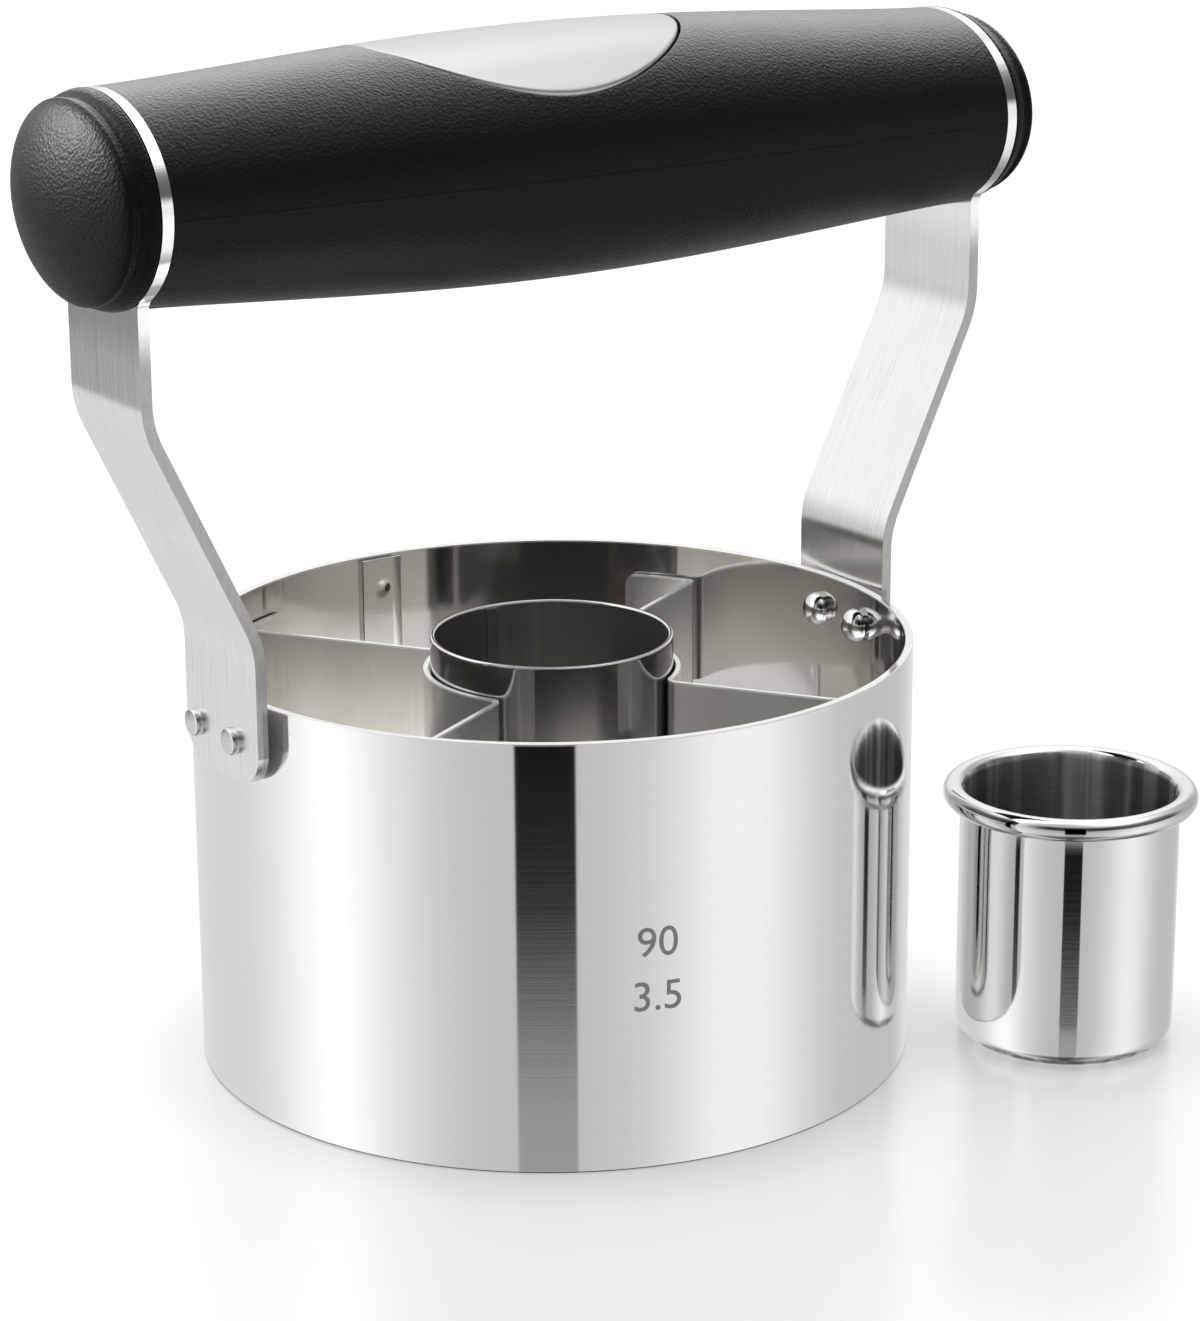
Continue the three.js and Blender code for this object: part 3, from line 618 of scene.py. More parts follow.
def skin(rings):
    """Quads over rings of points, the ends closed by one face each."""
    count = len(rings[0])
    last = (len(rings) - 1) * count
    points = [point for ring in rings for point in ring]
    faces = [(k + i, k + (i + 1) % count, k + count + (i + 1) % count, k + count + i)
             for k in range(0, last, count) for i in range(count)]
    faces.append(tuple(range(count))[::-1])
    faces.append(tuple(range(last, last + count)))
    return points, faces


# Bent sheets

def bend_path(start, heading, moves):
    """Lines and arcs laid end to end: (length,) or (radius, turn)."""
    legs, travelled = [], 0.0
    x, y = start
    for move in moves:
        radius, turn = move if len(move) == 2 else (None, 0.0)
        reach = radius * abs(turn) if radius else move[0]
        legs.append((travelled, x, y, heading, reach, radius, turn))
        x, y, heading = along_leg(legs[-1], reach)
        travelled += reach
    return legs, travelled


def along_leg(leg, distance):
    """Point and heading at a distance along one leg."""
    _, x, y, heading, _, radius, turn = leg
    if not radius:
        return x + distance * math.cos(heading), y + distance * math.sin(heading), heading
    side = math.copysign(1, turn)
    turned_to = heading + side * distance / radius
    return (x + side * radius * (math.sin(turned_to) - math.sin(heading)),
            y - side * radius * (math.cos(turned_to) - math.cos(heading)), turned_to)


def on_path(legs, s):
    """Point and heading at a distance along the path."""
    leg = [leg for leg in legs if leg[0] <= s + 1e-9][-1]
    return along_leg(leg, s - leg[0])


def stations(legs, total, extra, step=math.radians(2.5)):
    """Distances along the path where the sheet gets a section."""
    marks = [total, *extra]
    for start, _, _, _, reach, radius, turn in legs:
        count = max(1, math.ceil(abs(turn) / step)) if radius else 6
        marks += [start + reach * i / count for i in range(count)]
    marks.sort()
    return [mark for i, mark in enumerate(marks) if i == 0 or mark - marks[i - 1] > 1e-6]


def bent_sheet(name, legs, marks, half_width, gauge, edge):
    """A flat blank bent along a path, its edges broken by a small bevel."""
    rings = []
    for s in marks:
        x, y, heading = on_path(legs, s)
        nx, ny = -math.sin(heading) * gauge / 2, math.cos(heading) * gauge / 2
        half = half_width(s)
        rings.append([(x + nx, y + ny, -half), (x + nx, y + ny, half),
                      (x - nx, y - ny, half), (x - nx, y - ny, -half)])
    mesh = mesh_from(name, *skin(rings))
    settle(mesh)
    thing = bpy.data.objects.new(name, mesh)
    bpy.context.scene.collection.objects.link(thing)
    bevel = thing.modifiers.new("Broken edge", "BEVEL")
    bevel.width = edge
    bevel.segments = 2
    bevel.limit_method = "ANGLE"
    bevel.angle_limit = math.radians(40)
    bevel.harden_normals = True
    bevel.use_clamp_overlap = True
    return evaluated(thing, name)


def corner_loss(distance, radius):
    """What a rounded corner takes off the half width near the sheet's end."""
    if distance >= radius:
        return 0.0
    return radius - math.sqrt(max(0.0, radius ** 2 - (radius - distance) ** 2))


def corner_marks(radius, steps=10):
    """Stations round a corner."""
    return [radius * (1 - math.cos(QUARTER * i / steps)) for i in range(steps + 1)]


def joined(name, *meshes):
    """Several meshes as one."""
    work = bmesh.new()
    for mesh in meshes:
        work.from_mesh(mesh)
    whole = bpy.data.meshes.new(name)
    work.to_mesh(whole)
    work.free()
    whole.shade_smooth()
    return whole


# Shapes shared by the pieces

def lap_layer(sizes, radius, step, width):
    """The layer inside a rolled wall where its ends overlap, let half into the wall."""
    turn = width / radius
    start = sizes.seam_bearing - turn / 2
    low, high = sizes.bevel, sizes.height - sizes.lap_drop
    legs, total = bend_path((radius * math.cos(start), radius * math.sin(start)), start + QUARTER,
                            [(radius, turn)])
    mesh = bent_sheet("lap", legs, stations(legs, total, []), lambda s: (high - low) / 2, 2 * step, step / 5)
    mesh.transform(Matrix.Translation((0, 0, (low + high) / 2)))
    return mesh


def rolled_wall(name, sizes, outer, gauge, land, rim, facets, lap, finish):
    """A rolled wall with a ground foot and a rounded rim, and inside it the lap of its seam."""
    inner = outer - gauge
    section = rounded([(outer, 0), (outer, sizes.height), (inner, sizes.height),
                       (inner, sizes.bevel), (outer - land, 0)], [BREAK, rim, rim, BREAK, BREAK / 2])
    wall = turned("wall", section, facets, finish)
    return settle(joined(name, wall, lap_layer(sizes, inner, *lap)), 25)


def heights(context):
    """Heights that follow from the sizes: rivets, bends and grip axis."""
    ring, handle = context.scene.cutter_ring, context.scene.cutter_handle
    rivets = ring.height - handle.rivet_drop
    lower = ring.height + handle.lower_rise
    upper = lower + handle.upper_rise
    return rivets, lower, upper, upper + handle.handle_rise


def cup_place(context):
    """Where the cup's axis stands."""
    cup = context.scene.cutter_cup
    reach = context.scene.cutter_ring.diameter / 2 + cup.gap + cup.diameter / 2 - cup.wall + 2 * cup.curl
    return reach * math.cos(cup.bearing), reach * math.sin(cup.bearing)


def rivet_places(handle):
    """Where the right-hand bracket's two rivets sit across the strap."""
    first = handle.rivet_edge - handle.width / 2
    return first, first + handle.rivet_pitch


def barrel_half(handle, x):
    """Half width and half height of the grip's oval at a place along it."""
    share = min(1.0, abs(2 * x / handle.grip_length))
    swell = max(0.0, math.cos(QUARTER * share)) ** handle.fullness
    ends = handle.end_width / 2, handle.end_height / 2
    middle = handle.mid_width / 2, handle.mid_height / 2
    return tuple(end + (mid - end) * swell for end, mid in zip(ends, middle))


def barrel_point(handle, axis_z, x, a):
    """A point of the barrel's surface at a place along it and an angle round it."""
    wide, tall = barrel_half(handle, x)
    return (x, wide * math.cos(a), axis_z + tall * math.sin(a))


def barrel_top(handle, axis_z, x, y, inset):
    """A point some way under the barrel's upper surface, over a place in plan."""
    wide, tall = barrel_half(handle, x)
    share = min(1.0, abs(y) / (wide - inset))
    return (x, y, axis_z + (tall - inset) * math.sqrt(1 - share ** 2))


def finishes(context):
    """The finishes, made once."""
    kept = bpy.data.materials
    ring, handle, cup, colours = (context.scene.cutter_ring, context.scene.cutter_handle,
                                  context.scene.cutter_cup, context.scene.cutter_finishes)
    if "brushed_ring" not in kept:
        axis_z = heights(context)[3]
        ring_steel(ring, colours.ring, colours.inside)
        polished_steel("bright_tube", colours.tube, 0.06, ring.height - PAINTED_HIGHLIGHT_BAND,
                       ring.tube_diameter / 2 - ring.tube_wall / 2)
        polished_steel("bright_cup", colours.cup, 0.26, ring.height,
                       cup.diameter / 2 - cup.wall / 2, *cup_place(context))
        strip_steel(colours.strip, ring.height - ring.strip_drop)
        strap_steel(colours.strap, handle.width / 2, axis_z - handle.end_height / 2,
                    ring.diameter / 2 + ring.seat + handle.gauge / 2, ring.height)
        inlay_steel(colours.inlay)
        rivet_steel(colours.rivet, ring.diameter / 2)
        soft_black("grip_black", colours.grip, 0.16, axis_z - 0.0005)
        soft_black("cap_matt", colours.cap, 0.13)
        core_black(colours.core)
        etched_mark(colours.mark)
    return kept


# Operators

class CUTTER_OT_ring(Operator):
    """Builds the cutting ring with its rim, ground foot and lapped seam"""

    bl_idname = "cutter.ring"
    bl_label = "Cutting ring"

    def execute(self, context):
        sizes = context.scene.cutter_ring
        finish = finishes(context)["brushed_ring"]
        mesh = rolled_wall("cutting_ring", sizes, sizes.diameter / 2, sizes.wall, sizes.land, BREAK, 288,
                           (sizes.lap_step, sizes.lap_width), finish)
        place_piece("cutting_ring", mesh, finish, ["cutter_ring"])
        return {"FINISHED"}


class CUTTER_OT_tube(Operator):
    """Builds the hole tube with the lap of its rolled seam"""

    bl_idname = "cutter.tube"
    bl_label = "Hole tube"

    def execute(self, context):
        sizes = context.scene.cutter_ring
        finish = finishes(context)["bright_tube"]
        mesh = rolled_wall("tube_wall", sizes, sizes.tube_diameter / 2, sizes.tube_wall, sizes.tube_land,
                           SOFT_EDGE, 192, (sizes.tube_step, sizes.tube_lap), finish)
        place_piece("tube_wall", mesh, finish, ["hole_tube"])
        return {"FINISHED"}


class CUTTER_OT_strips(Operator):
    """Builds the two bent strips that carry the tube"""

    bl_idname = "cutter.strips"
    bl_label = "Tube strips"

    def execute(self, context):
        sizes = context.scene.cutter_ring
        finish = finishes(context)["rolled_strip"]
        gauge = sizes.strip_gauge
        wrap = sizes.tube_diameter / 2 + sizes.seat + gauge / 2
        wall = sizes.diameter / 2 - sizes.wall - sizes.seat - gauge / 2
        bend = sizes.strip_bend
        leg_end = math.sqrt((wall - bend) ** 2 - (2 * bend) ** 2)
        lean = math.atan2(2 * bend, leg_end)
        half_wrap = sizes.strip_wrap / 2
        leg = (leg_end - wrap - bend,)
        tab = sizes.tab_length / wall
        start = half_wrap + lean + tab
        legs, total = bend_path(
            (wall * math.cos(start), -wall * math.sin(start)), QUARTER - start,
            [(wall, tab), (bend, QUARTER + lean), leg, (bend, -QUARTER), (wrap, 2 * half_wrap),
             (bend, -QUARTER), leg, (bend, QUARTER + lean), (wall, tab)])
        corners = corner_marks(sizes.tab_corner)
        marks = stations(legs, total, [*corners, *(total - s for s in corners)], math.radians(4))
        middle = sizes.height - sizes.strip_drop - sizes.strip_height / 2

        def half_width(s):
            return sizes.strip_height / 2 - corner_loss(min(s, total - s), sizes.tab_corner)

        for side, turn in SIDES.items():
            mesh = bent_sheet("strip_" + side, legs, marks, half_width, gauge, SOFT_EDGE)
            mesh.transform(Matrix.Translation((0, 0, middle))
                           @ Matrix.Rotation(sizes.strip_bearing + turn, 4, "Z"))
            place_piece("strip_" + side, mesh, finish, ["tube_strip_" + side])
        return {"FINISHED"}


class CUTTER_OT_brackets(Operator):
    """Builds the two strap brackets with their oval end plates"""

    bl_idname = "cutter.brackets"
    bl_label = "Strap brackets"

    def execute(self, context):
        ring, handle = context.scene.cutter_ring, context.scene.cutter_handle
        finish = finishes(context)["brushed_strap"]
        gauge, half = handle.gauge, handle.width / 2
        rivets, lower, upper, axis_z = heights(context)
        wide, tall = handle.end_width / 2, handle.end_height / 2
        foot_x = ring.diameter / 2 + ring.seat + gauge / 2
        plate_x = handle.grip_length / 2 + ring.seat + gauge / 2
        slope = math.atan2(plate_x - foot_x, handle.upper_rise)
        tangent = handle.bend * math.tan(slope / 2)
        foot, top = rivets - handle.tail, axis_z + tall
        legs, total = bend_path((foot_x, foot), QUARTER, [
            (lower - foot - tangent,), (handle.bend, -slope),
            (handle.upper_rise / math.cos(slope) - 2 * tangent,), (handle.bend, slope),
            (top - upper - tangent,)])
        neck = handle.neck

        def outside(a, distance):
            nx, nz = math.cos(a) / wide, math.sin(a) / tall
            size = math.hypot(nx, nz)
            return wide * math.cos(a) + distance * nx / size, tall * math.sin(a) + distance * nz / size

        low, high = -QUARTER, 0.0
        for _ in range(40):
            middle = (low + high) / 2
            if outside(middle, neck)[0] < half + neck:
                low = middle
            else:
                high = middle
        neck_top, neck_centre = outside(low, 0)[1], outside(low, neck)[1]

        def half_width(s):
            height = top - (total - s) - axis_z
            if height >= neck_top:
                return wide * math.sqrt(max(0.0, 1 - (height / tall) ** 2))
            rise = height - neck_centre
            if rise <= 0:
                return half - corner_loss(s, handle.corner)
            return half + neck - math.sqrt(max(0.0, neck ** 2 - rise ** 2))

        def at(height):
            return total - (tall - height)

        extra = [*corner_marks(handle.corner),
                 *(at(neck_centre + (neck_top - neck_centre) * i / 8) for i in range(9)),
                 *(at(tall * math.sin(low + (QUARTER - low) * i / 56)) for i in range(56))]
        marks = stations(legs, total, extra)
        for side, turn in SIDES.items():
            mesh = bent_sheet("strap_" + side, legs, marks, half_width, gauge, STRAP_EDGE)
            mesh.transform(Matrix.Rotation(turn, 4, "Z") @ Matrix.Rotation(QUARTER, 4, "X"))
            place_piece("strap_" + side, mesh, finish, ["bracket_" + side])
        return {"FINISHED"}


class CUTTER_OT_rivets(Operator):
    """Sets a flat head outside and a domed head inside at each of the four rivets"""

    bl_idname = "cutter.rivets"
    bl_label = "Rivets"

    def execute(self, context):
        ring, handle = context.scene.cutter_ring, context.scene.cutter_handle
        finish = finishes(context)["upset_rivet"]
        rivets = heights(context)[0]
        bore = ring.diameter / 2 - ring.wall
        seat = ring.diameter / 2 + ring.seat + handle.gauge
        flat, dome = handle.button / 2, handle.dome / 2
        chamfer, skirt, crown, shank = 0.00022, 0.0002, 0.00006, 0.0008
        button = [(0, -skirt), (flat * 0.96, -skirt), (flat * 0.96, skirt / 2), (flat, skirt),
                  *arc((flat - chamfer, handle.button_height - chamfer), chamfer, 0, 90, 5),
                  (flat * 0.5, handle.button_height + crown * 2 / 3), (0, handle.button_height + crown)]
        round_head = [(0, -shank), (dome * 0.7, -shank), (dome * 0.96, -skirt / 4),
                      *((dome * math.cos(QUARTER * i / 10), handle.dome_height * math.sin(QUARTER * i / 10))
                        for i in range(10)), (0, handle.dome_height)]
        spots = [(end, y) for end in (1, -1) for y in rivet_places(handle)]
        walls = [math.sqrt(bore ** 2 - (abs(y) + dome) ** 2) - ring.seat for _, y in spots]
        tree = bpy.data.node_groups.get("Heads on points") or scatter_tree()
        heads = []
        for name, section, reaches, way in (("buttons", button, [seat] * len(spots), QUARTER),
                                            ("domes", round_head, walls, -QUARTER)):
            points = [(end * reach, end * y, rivets) for (end, y), reach in zip(spots, reaches)]
            turns = [value for end, _ in spots for value in (0, end * way, 0)]
            head = bpy.data.objects.new(name, turned(name, section, 48, finish, closed=False))
            context.scene.collection.objects.link(head)
            mesh = mesh_from(name + "_places", points, [])
            mesh.attributes.new("turn", "FLOAT_VECTOR", "POINT").data.foreach_set("vector", turns)
            thing = node_object(name + "_set", mesh, tree, {"Head": head, "Finish": finish})
            heads.append(evaluated(thing, name))
            bpy.data.objects.remove(head)
        nodes = [f"rivet_{side}_{end}" for side in SIDES for end in ("front", "back")]
        place_piece("rivets", settle(joined("rivets", *heads), 50), finish, nodes)
        return {"FINISHED"}


class CUTTER_OT_grip(Operator):
    """Builds the soft barrel with the pocket for its oval plate"""

    bl_idname = "cutter.grip"
    bl_label = "Grip"

    def execute(self, context):
        ring, handle = context.scene.cutter_ring, context.scene.cutter_handle
        axis_z = heights(context)[3]
        finish = finishes(context)["grip_black"]
        half = handle.grip_length / 2 + ring.seat - SNUG
        around, along, steps = 128, 104, 14
        radius_x, radius_y = handle.inlay_length / 2 + ring.seat, handle.inlay_width / 2 + ring.seat
        bed = handle.inlay_gauge + ring.seat

        # The grid over the barrel, with a patch left open round the pocket
        low_x, high_x, low_a, high_a = 20, along - 26, 6, around // 2 - 6

        def at(i, j):
            return i * around + j % around

        points = [barrel_point(handle, axis_z, -half + 2 * half * i / along, TURN * j / around)
                  for i in range(along + 1) for j in range(around)]
        faces = [(at(i, j), at(i + 1, j), at(i + 1, j + 1), at(i, j + 1))
                 for i in range(along) for j in range(around)
                 if not (low_x <= i < high_x and low_a <= j < high_a)]
        outer = ([at(i, low_a) for i in range(low_x, high_x)]
                 + [at(high_x, j) for j in range(low_a, high_a)]
                 + [at(i, high_a) for i in range(high_x, low_x, -1)]
                 + [at(low_x, j) for j in range(high_a, low_a, -1)])
        loops = [outer]

        def edge(index, scale):
            x, y, _ = points[index]
            a = math.atan2(y / radius_y, (x - handle.inlay_shift) / radius_x)
            return handle.inlay_shift + scale * radius_x * math.cos(a), scale * radius_y * math.sin(a)

        def ring_of(maker):
            start = len(points)
            points.extend(maker(index) for index in outer)
            loops.append(list(range(start, start + len(outer))))

        def between(index, share):
            x, y, _ = points[index]
            near_x, near_y = edge(index, 1.012)
            start, end = (math.acos(max(-1, min(1, side / barrel_half(handle, along_x)[0])))
                          for along_x, side in ((x, y), (near_x, near_y)))
            return barrel_point(handle, axis_z, x + (near_x - x) * share, start + (end - start) * share)

        for step in range(1, steps + 1):
            ring_of(lambda index, share=step / steps: between(index, share ** 0.8))
        for scale, depth in ((1.004, 0.00003), (1.0, 0.0002), (1.0, bed), (0.6, bed), (0.2, bed)):
            ring_of(lambda index, s=scale, d=depth: barrel_top(handle, axis_z, *edge(index, s), d))
        count = len(outer)
        for near, far in zip(loops, loops[1:]):
            faces += [(near[k], near[(k + 1) % count], far[(k + 1) % count], far[k]) for k in range(count)]
        faces.append(tuple(loops[-1]))

        # The bore that runs from end to end, for the core
        first, second = len(points), len(points) + around
        bore = oval(handle.end_width / 2 - END_RING, handle.end_height / 2 - END_RING, around)
        points += [(end * half, y, axis_z + z) for end in (-1, 1) for y, z in bore]
        for near, far in ((0, first), (along * around, second), (first, second)):
            faces += [(near + j, near + (j + 1) % around, far + (j + 1) % around, far + j)
                      for j in range(around)]
        mesh = settle(mesh_from("grip_barrel", points, faces), 40)
        place_piece("grip_barrel", mesh, finish, ["grip_sleeve"])
        return {"FINISHED"}


class CUTTER_OT_inlay(Operator):
    """Builds the blank oval plate let into the grip"""

    bl_idname = "cutter.inlay"
    bl_label = "Oval plate"

    def execute(self, context):
        handle = context.scene.cutter_handle
        axis_z = heights(context)[3]
        finish = finishes(context)["satin_inlay"]
        bed = handle.inlay_gauge
        layers = [(scale, 0.0) for scale in (0.1, 0.25, 0.4, 0.55, 0.7, 0.82, 0.92, 0.97, 0.985)]
        layers += [(0.993, 0.00003), (0.998, 0.00010), (1.0, 0.00022), (1.0, 0.0006), (1.0, bed)]
        layers += [(scale, bed) for scale in (0.8, 0.4, 0.1)]
        outline = oval(handle.inlay_length / 2, handle.inlay_width / 2, 160)
        rings = [[barrel_top(handle, axis_z, handle.inlay_shift + scale * x, scale * y, depth)
                  for x, y in outline] for scale, depth in layers]
        mesh = settle(mesh_from("oval_plate", *skin(rings)), 60)
        place_piece("oval_plate", mesh, finish, ["inlay_plate"])
        return {"FINISHED"}


class CUTTER_OT_caps(Operator):
    """Builds the two end caps with their groove and dome"""

    bl_idname = "cutter.caps"
    bl_label = "End caps"

    def execute(self, context):
        ring, handle = context.scene.cutter_ring, context.scene.cutter_handle
        axis_z = heights(context)[3]
        finish = finishes(context)["cap_matt"]
        base = handle.grip_length / 2 + 2 * ring.seat + handle.gauge
        foot = handle.flange + handle.groove
        wide, tall = handle.end_width / 2, handle.end_height / 2
        edge_drop, chamfer, sides, rounds = 0.001, 0.0002, 40, 64
        middle = foot - edge_drop - handle.groove / 3

        def cap_ring(x, inset, spread=1.0):
            dip = handle.groove_depth * math.exp(-((x - middle) / (0.65 * handle.groove)) ** 2)
            outline = oval((wide - inset) * spread - dip, (tall - inset) * spread - dip, 128)
            return [(base + x, y, axis_z + z) for y, z in outline]

        close = SNUG - ring.seat
        rings = [cap_ring(close, END_RING), cap_ring(close, chamfer), cap_ring(close + chamfer, 0.0)]
        rings += [cap_ring((foot - edge_drop) * i / sides, handle.draft * i / sides) for i in range(1, sides)]
        for i in range(rounds):
            spread = math.cos(QUARTER * i / rounds)
            drop = edge_drop * (1 - math.sqrt(1 - spread ** 16))
            rings.append(cap_ring(foot + handle.cap_dome * (1 - spread ** 2) - drop, handle.draft, spread))
        for side, turn in SIDES.items():
            mesh = settle(mesh_from("cap_" + side, *skin(rings)), 60)
            mesh.transform(Matrix.Rotation(turn, 4, "Z"))
            place_piece("cap_" + side, mesh, finish, ["end_cap_" + side])
        return {"FINISHED"}


class CUTTER_OT_cup(Operator):
    """Builds the loose cup with its rolled rim"""

    bl_idname = "cutter.cup"
    bl_label = "Hole cup"

    def execute(self, context):
        sizes = context.scene.cutter_cup
        finish = finishes(context)["bright_cup"]
        radius, wall, foot, curl = sizes.diameter / 2, sizes.wall, sizes.foot, sizes.curl
        curl_at = (radius - wall + curl, sizes.height - curl)
        end = math.degrees(sizes.curl_end)
        side = [(radius, foot + (curl_at[1] - foot) * i / 8) for i in range(1, 8)]
        inside = [(radius - wall, foot + (curl_at[1] - foot) * i / 8) for i in range(7, 0, -1)]
        section = [(0, 0), ((radius - foot) * 0.5, 0), ((radius - foot) * 0.95, 0),
                   *arc((radius - foot, foot), foot, -90, 0, 14), *side,
                   *arc(curl_at, curl - wall, 180, end, 24), *arc(curl_at, curl, end, 180, 40), *inside,
                   *arc((radius - foot, foot), foot - wall, 0, -90, 12),
                   ((radius - foot) * 0.95, wall), ((radius - foot) * 0.5, wall), (0, wall)]
        mesh = turned("cup", section, sizes.facets, finish, closed=False)
        mesh.transform(Matrix.Translation((*cup_place(context), 0)))
        place_piece("cup", mesh, finish, ["hole_cup"], body="cup")
        return {"FINISHED"}


class CUTTER_OT_marks(Operator):
    """Sets etched figures on the front of the ring"""

    bl_idname = "cutter.marks"
    bl_label = "Etched figures"

    def execute(self, context):
        ring = context.scene.cutter_ring
        finish = finishes(context)["etched_mark"]
        radius = ring.diameter / 2 + MARK_PROUD
        size, bearing, longest = 0.0052, math.radians(-107.6), 0.0006
        meshes = []
        for body, height in (("90", 0.0266), ("3.5", 0.0199)):
            text = bpy.data.curves.new("figures", "FONT")
            text.body = body
            text.size = size
            text.align_x = "CENTER"
            text.resolution_u = 6
            thing = bpy.data.objects.new("figures", text)
            context.scene.collection.objects.link(thing)
            mesh = evaluated(thing, "figures")
            work = bmesh.new()
            work.from_mesh(mesh)
            bmesh.ops.triangulate(work, faces=work.faces)
            long_edges = [edge for edge in work.edges if edge.calc_length() > longest]
            bmesh.ops.subdivide_edges(work, edges=long_edges, cuts=2)
            for vert in work.verts:
                a = bearing + vert.co.x / radius
                vert.co = (radius * math.cos(a), radius * math.sin(a), height + vert.co.y)
            work.to_mesh(mesh)
            work.free()
            meshes.append(mesh)
        place_piece("etched_figures", joined("etched_figures", *meshes), finish, [])
        return {"FINISHED"}


class CUTTER_OT_inner(Operator):
    """Gives the hidden core and its screws their finish"""

    bl_idname = "cutter.inner"
    bl_label = "Core and screws"

    def execute(self, context):
        made = finishes(context)
        for name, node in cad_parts.items():
            if name == "grip_core" or name.startswith("screw_"):
                node.data.materials.clear()
                node.data.materials.append(made["moulded_core" if name == "grip_core" else "upset_rivet"])
        return {"FINISHED"}


class CUTTER_OT_stage(Operator):
    """Sets the floor, the studio light and the camera"""

    bl_idname = "cutter.stage"
    bl_label = "Stage"

    def execute(self, context):
        self.floor(context)
        self.studio(context)
        self.lamps(context)
        self.camera(context)
        context.scene.view_settings.view_transform = "Standard"
        return {"FINISHED"}

    def floor(self, context):
        """A wide white table, and the patch of it inside the ring, which glows for all but the camera, most
        on the side near the camera: a painted pool of light.
        """
        ring = context.scene.cutter_ring
        patch = ring.diameter / 2 - ring.land - 0.0004
        count, seen = 96, 0.56
        # Each disc: its name, its radius, how far it lies below the foot, and the strength of its glow, a
        # painted light given off for all rays but the camera's
        for name, radius, drop, cast in (("table", 6.0, 0.0001, 0.0), ("table_patch", patch, 0.00004, 1.3)):
            wire, place = new_finish(name)
            paint = wire.add("ShaderNodeBsdfPrincipled", None,
                             {"Base Color": (0.4, 0.4, 0.4, 1), "Roughness": 0.2, "Specular IOR Level": 0.6})
            # The patch's glow, strongest on the near and right side, is a painted pool of light on the table
            # inside the ring.
            lit = (ease(wire, wire.vector("DOT_PRODUCT", place, AWAY), -0.004, 0.008, cast, cast * 0.2)
                   * ease(wire, wire.vector("DOT_PRODUCT", place, ASIDE), -0.01, 0.02, 1.0, 2.0))
            # The glow is darkened where the ambient occlusion finds the ring or the cup close by: a painted
            # contact shadow on the table.
            near = wire.add("ShaderNodeAmbientOcclusion", None, {"Distance": 0.012}, out="AO")
            shade = mixed(wire, span(wire, near, 0.45, 1.0), (0.74, 0.74, 0.74, 1), (1, 1, 1, 1))
            camera = wire.add("ShaderNodeLightPath", out="Is Camera Ray")
            glow = wire.add("ShaderNodeEmission", None,
                            {"Color": shade, "Strength": camera * seen + (1 - camera) * lit})
            both = wire.add("ShaderNodeAddShader", None, {0: paint, 1: glow})
            wire.add("ShaderNodeOutputMaterial", None, {"Surface": both})
            points = [(x, y, -drop) for x, y in oval(radius, radius, count)]
            mesh = mesh_from(name, points, [tuple(range(count))])
            mesh.materials.append(bpy.data.materials[name])
            thing = bpy.data.objects.new(name, mesh)
            context.scene.collection.objects.link(thing)
            thing.visible_shadow = False
            thing.visible_glossy = cast > 0

    def studio(self, context):
        """White for the camera; for the rest, soft boxes left, right, behind and above, and a dark front."""
        world = bpy.data.worlds.new("studio")
        world.use_nodes = True
        world.node_tree.nodes.clear()
        context.scene.world = world
        wire = Wire(world.node_tree)
        way = wire.add("ShaderNodeTexCoord", out="Generated")
        rise = elevation(wire, way)
        flat = wire.vector("MULTIPLY", way, (1, 1, 0), "Vector")
        level = wire.vector("NORMALIZE", flat, out="Vector")

        def facing(degrees):
            a = math.radians(degrees)
            return wire.vector("DOT_PRODUCT", level, (math.cos(a), math.sin(a), 0))

        def box(towards, power):
            return wire.math("MAXIMUM", towards, 0.0) ** power

        def gap(degrees, outer, inner):
            return ease(wire, facing(degrees), math.cos(math.radians(outer)), math.cos(math.radians(inner)))

        left, right = box(facing(167), 8.0), box(facing(-62), 7.5)
        over = box(wire.vector("DOT_PRODUCT", way, (0.34, -0.12, 0.933)), 10.0)
        behind = ease(wire, facing(100), 0.1, 0.5)
        back = behind * ease(wire, rise, 0.0, 0.25, 0.2, 0.62)
        top = behind * ease(wire, rise, 0.3, 0.8, 0.0, 0.45)
        low = ease(wire, rise, -0.2, -0.05, 0.15, 0.0)
        under = ease(wire, rise, -0.84, -0.66, 0.6, 0.0)
        front = (ease(wire, facing(-90), 0.0, 0.5) * ease(wire, rise, 0.12, 0.28)
                 * ease(wire, rise, 0.62, 0.8, 1.0, 0.0))
        sides = (left * 0.6 + right * 0.56) * (1 - front * 0.85)
        light = 0.62 + sides + over * 1.3 + back + top + low - under - front * 0.56
        ledge = gap(108, 19, 14) * span(wire, rise, -0.265, -0.25) * ease(wire, rise, -0.1, 0.05, 1.0, 0.0)
        slot = (gap(-125.5, 9.8, 9.0) * ease(wire, rise, -0.405, -0.355, 0.33, 0.996)
                * ease(wire, rise, 0.45, 0.75, 1.0, 0.0))
        light = light * (1 - ledge * 0.7) * (1 - slot)
        camera = wire.add("ShaderNodeLightPath", out="Is Camera Ray")
        backdrop = wire.add("ShaderNodeBackground", None, {"Strength": light * (1 - camera) + camera})
        wire.add("ShaderNodeOutputWorld", None, {"Surface": backdrop})

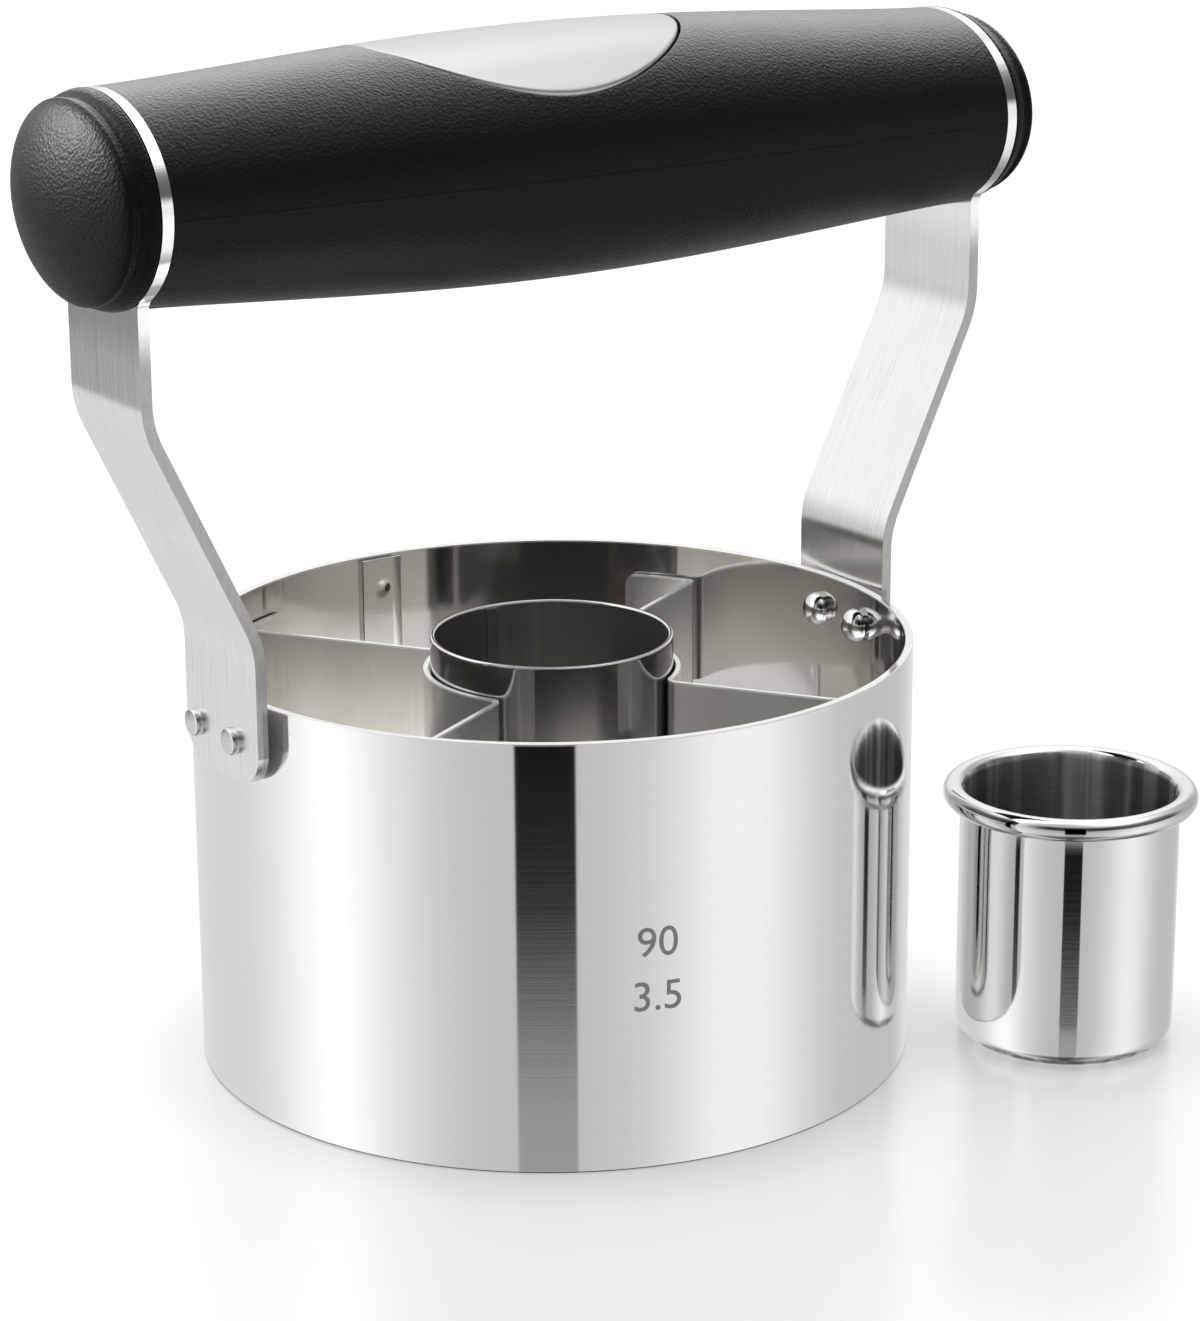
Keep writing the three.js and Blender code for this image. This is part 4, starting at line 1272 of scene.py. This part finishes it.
    def lamps(self, context):
        """Soft boxes for the black pieces alone: one behind and above the grip, one left of its cap."""
        black = bpy.data.collections.new("black_pieces")
        for name in ("grip_barrel", "cap_left", "cap_right"):
            black.objects.link(bpy.data.objects[name])
        grip = Vector((0, 0, heights(context)[3]))
        cap = grip - Vector((context.scene.cutter_handle.grip_length / 2, 0, 0))
        for name, aim, way, reach, size, energy in (
                ("grip_box", grip, (0.49, 0.56, 0.67), 0.6, (0.7, 0.5), 6.6),
                ("cap_box", cap, (-0.60, 0.70, 0.40), 0.5, (0.13, 0.13), 5.0)):
            lamp = bpy.data.lights.new(name, "AREA")
            lamp.energy = energy
            lamp.shape = "RECTANGLE"
            lamp.size, lamp.size_y = size
            thing = bpy.data.objects.new(name, lamp)
            context.scene.collection.objects.link(thing)
            thing.location = aim + Vector(way).normalized() * reach
            thing.rotation_euler = Vector(way).to_track_quat("Z", "Y").to_euler()
            thing.light_linking.receiver_collection = black
            thing.visible_diffuse = False

    def camera(self, context):
        """The camera at the photograph's angle."""
        right = Vector(ASIDE)
        back = Vector((0, 0, math.sin(CAMERA_RISE))) - Vector(AWAY) * math.cos(CAMERA_RISE)
        up = back.cross(right)
        aim = right * CAMERA_AIM[0] + Vector((0, 0, CAMERA_AIM[1]))
        level = right * math.cos(CAMERA_ROLL) + up * math.sin(CAMERA_ROLL)
        upright = up * math.cos(CAMERA_ROLL) - right * math.sin(CAMERA_ROLL)
        lens = bpy.data.cameras.new("camera")
        lens.sensor_fit = "VERTICAL"
        lens.sensor_height = SENSOR_HEIGHT
        lens.lens = SENSOR_HEIGHT * FOCAL_LENGTH / FRAME_HEIGHT
        lens.clip_start = 0.01
        thing = bpy.data.objects.new("camera", lens)
        thing.matrix_world = Matrix((level, upright, back)).transposed().to_4x4()
        thing.location = aim + back * CAMERA_REACH
        context.scene.collection.objects.link(thing)
        context.scene.camera = thing


class CUTTER_PT_pieces(Panel):
    """Lists the pieces in the sidebar"""

    bl_idname = "CUTTER_PT_pieces"
    bl_label = "Doughnut cutter"
    bl_space_type = "VIEW_3D"
    bl_region_type = "UI"
    bl_category = "Doughnut cutter"

    def draw(self, context):
        for operator in OPERATORS:
            self.layout.operator(operator.bl_idname)
        for group in GROUPS:
            box = self.layout.box()
            for name in getattr(context.scene, group).__annotations__:
                box.prop(getattr(context.scene, group), name)


GROUPS = {"cutter_ring": RingSizes, "cutter_handle": HandleSizes, "cutter_cup": CupSizes,
          "cutter_finishes": Finishes}
OPERATORS = (CUTTER_OT_ring, CUTTER_OT_tube, CUTTER_OT_strips, CUTTER_OT_brackets, CUTTER_OT_rivets,
             CUTTER_OT_grip, CUTTER_OT_inlay, CUTTER_OT_caps, CUTTER_OT_cup, CUTTER_OT_marks,
             CUTTER_OT_inner, CUTTER_OT_stage)


def register():
    """Registers the sizes, the operators and the panel."""
    for name, group in GROUPS.items():
        bpy.utils.register_class(group)
        setattr(bpy.types.Scene, name, PointerProperty(type=group))
    for item in (*OPERATORS, CUTTER_PT_pieces):
        bpy.utils.register_class(item)


def unregister():
    """Takes them away again."""
    for item in (CUTTER_PT_pieces, *reversed(OPERATORS)):
        bpy.utils.unregister_class(item)
    for name, group in reversed(GROUPS.items()):
        delattr(bpy.types.Scene, name)
        bpy.utils.unregister_class(group)


def main():
    """Builds every piece and the stage."""
    register()
    for operator in OPERATORS:
        group, name = operator.bl_idname.split(".")
        getattr(getattr(bpy.ops, group), name)()


if __name__ == "__main__":
    main()
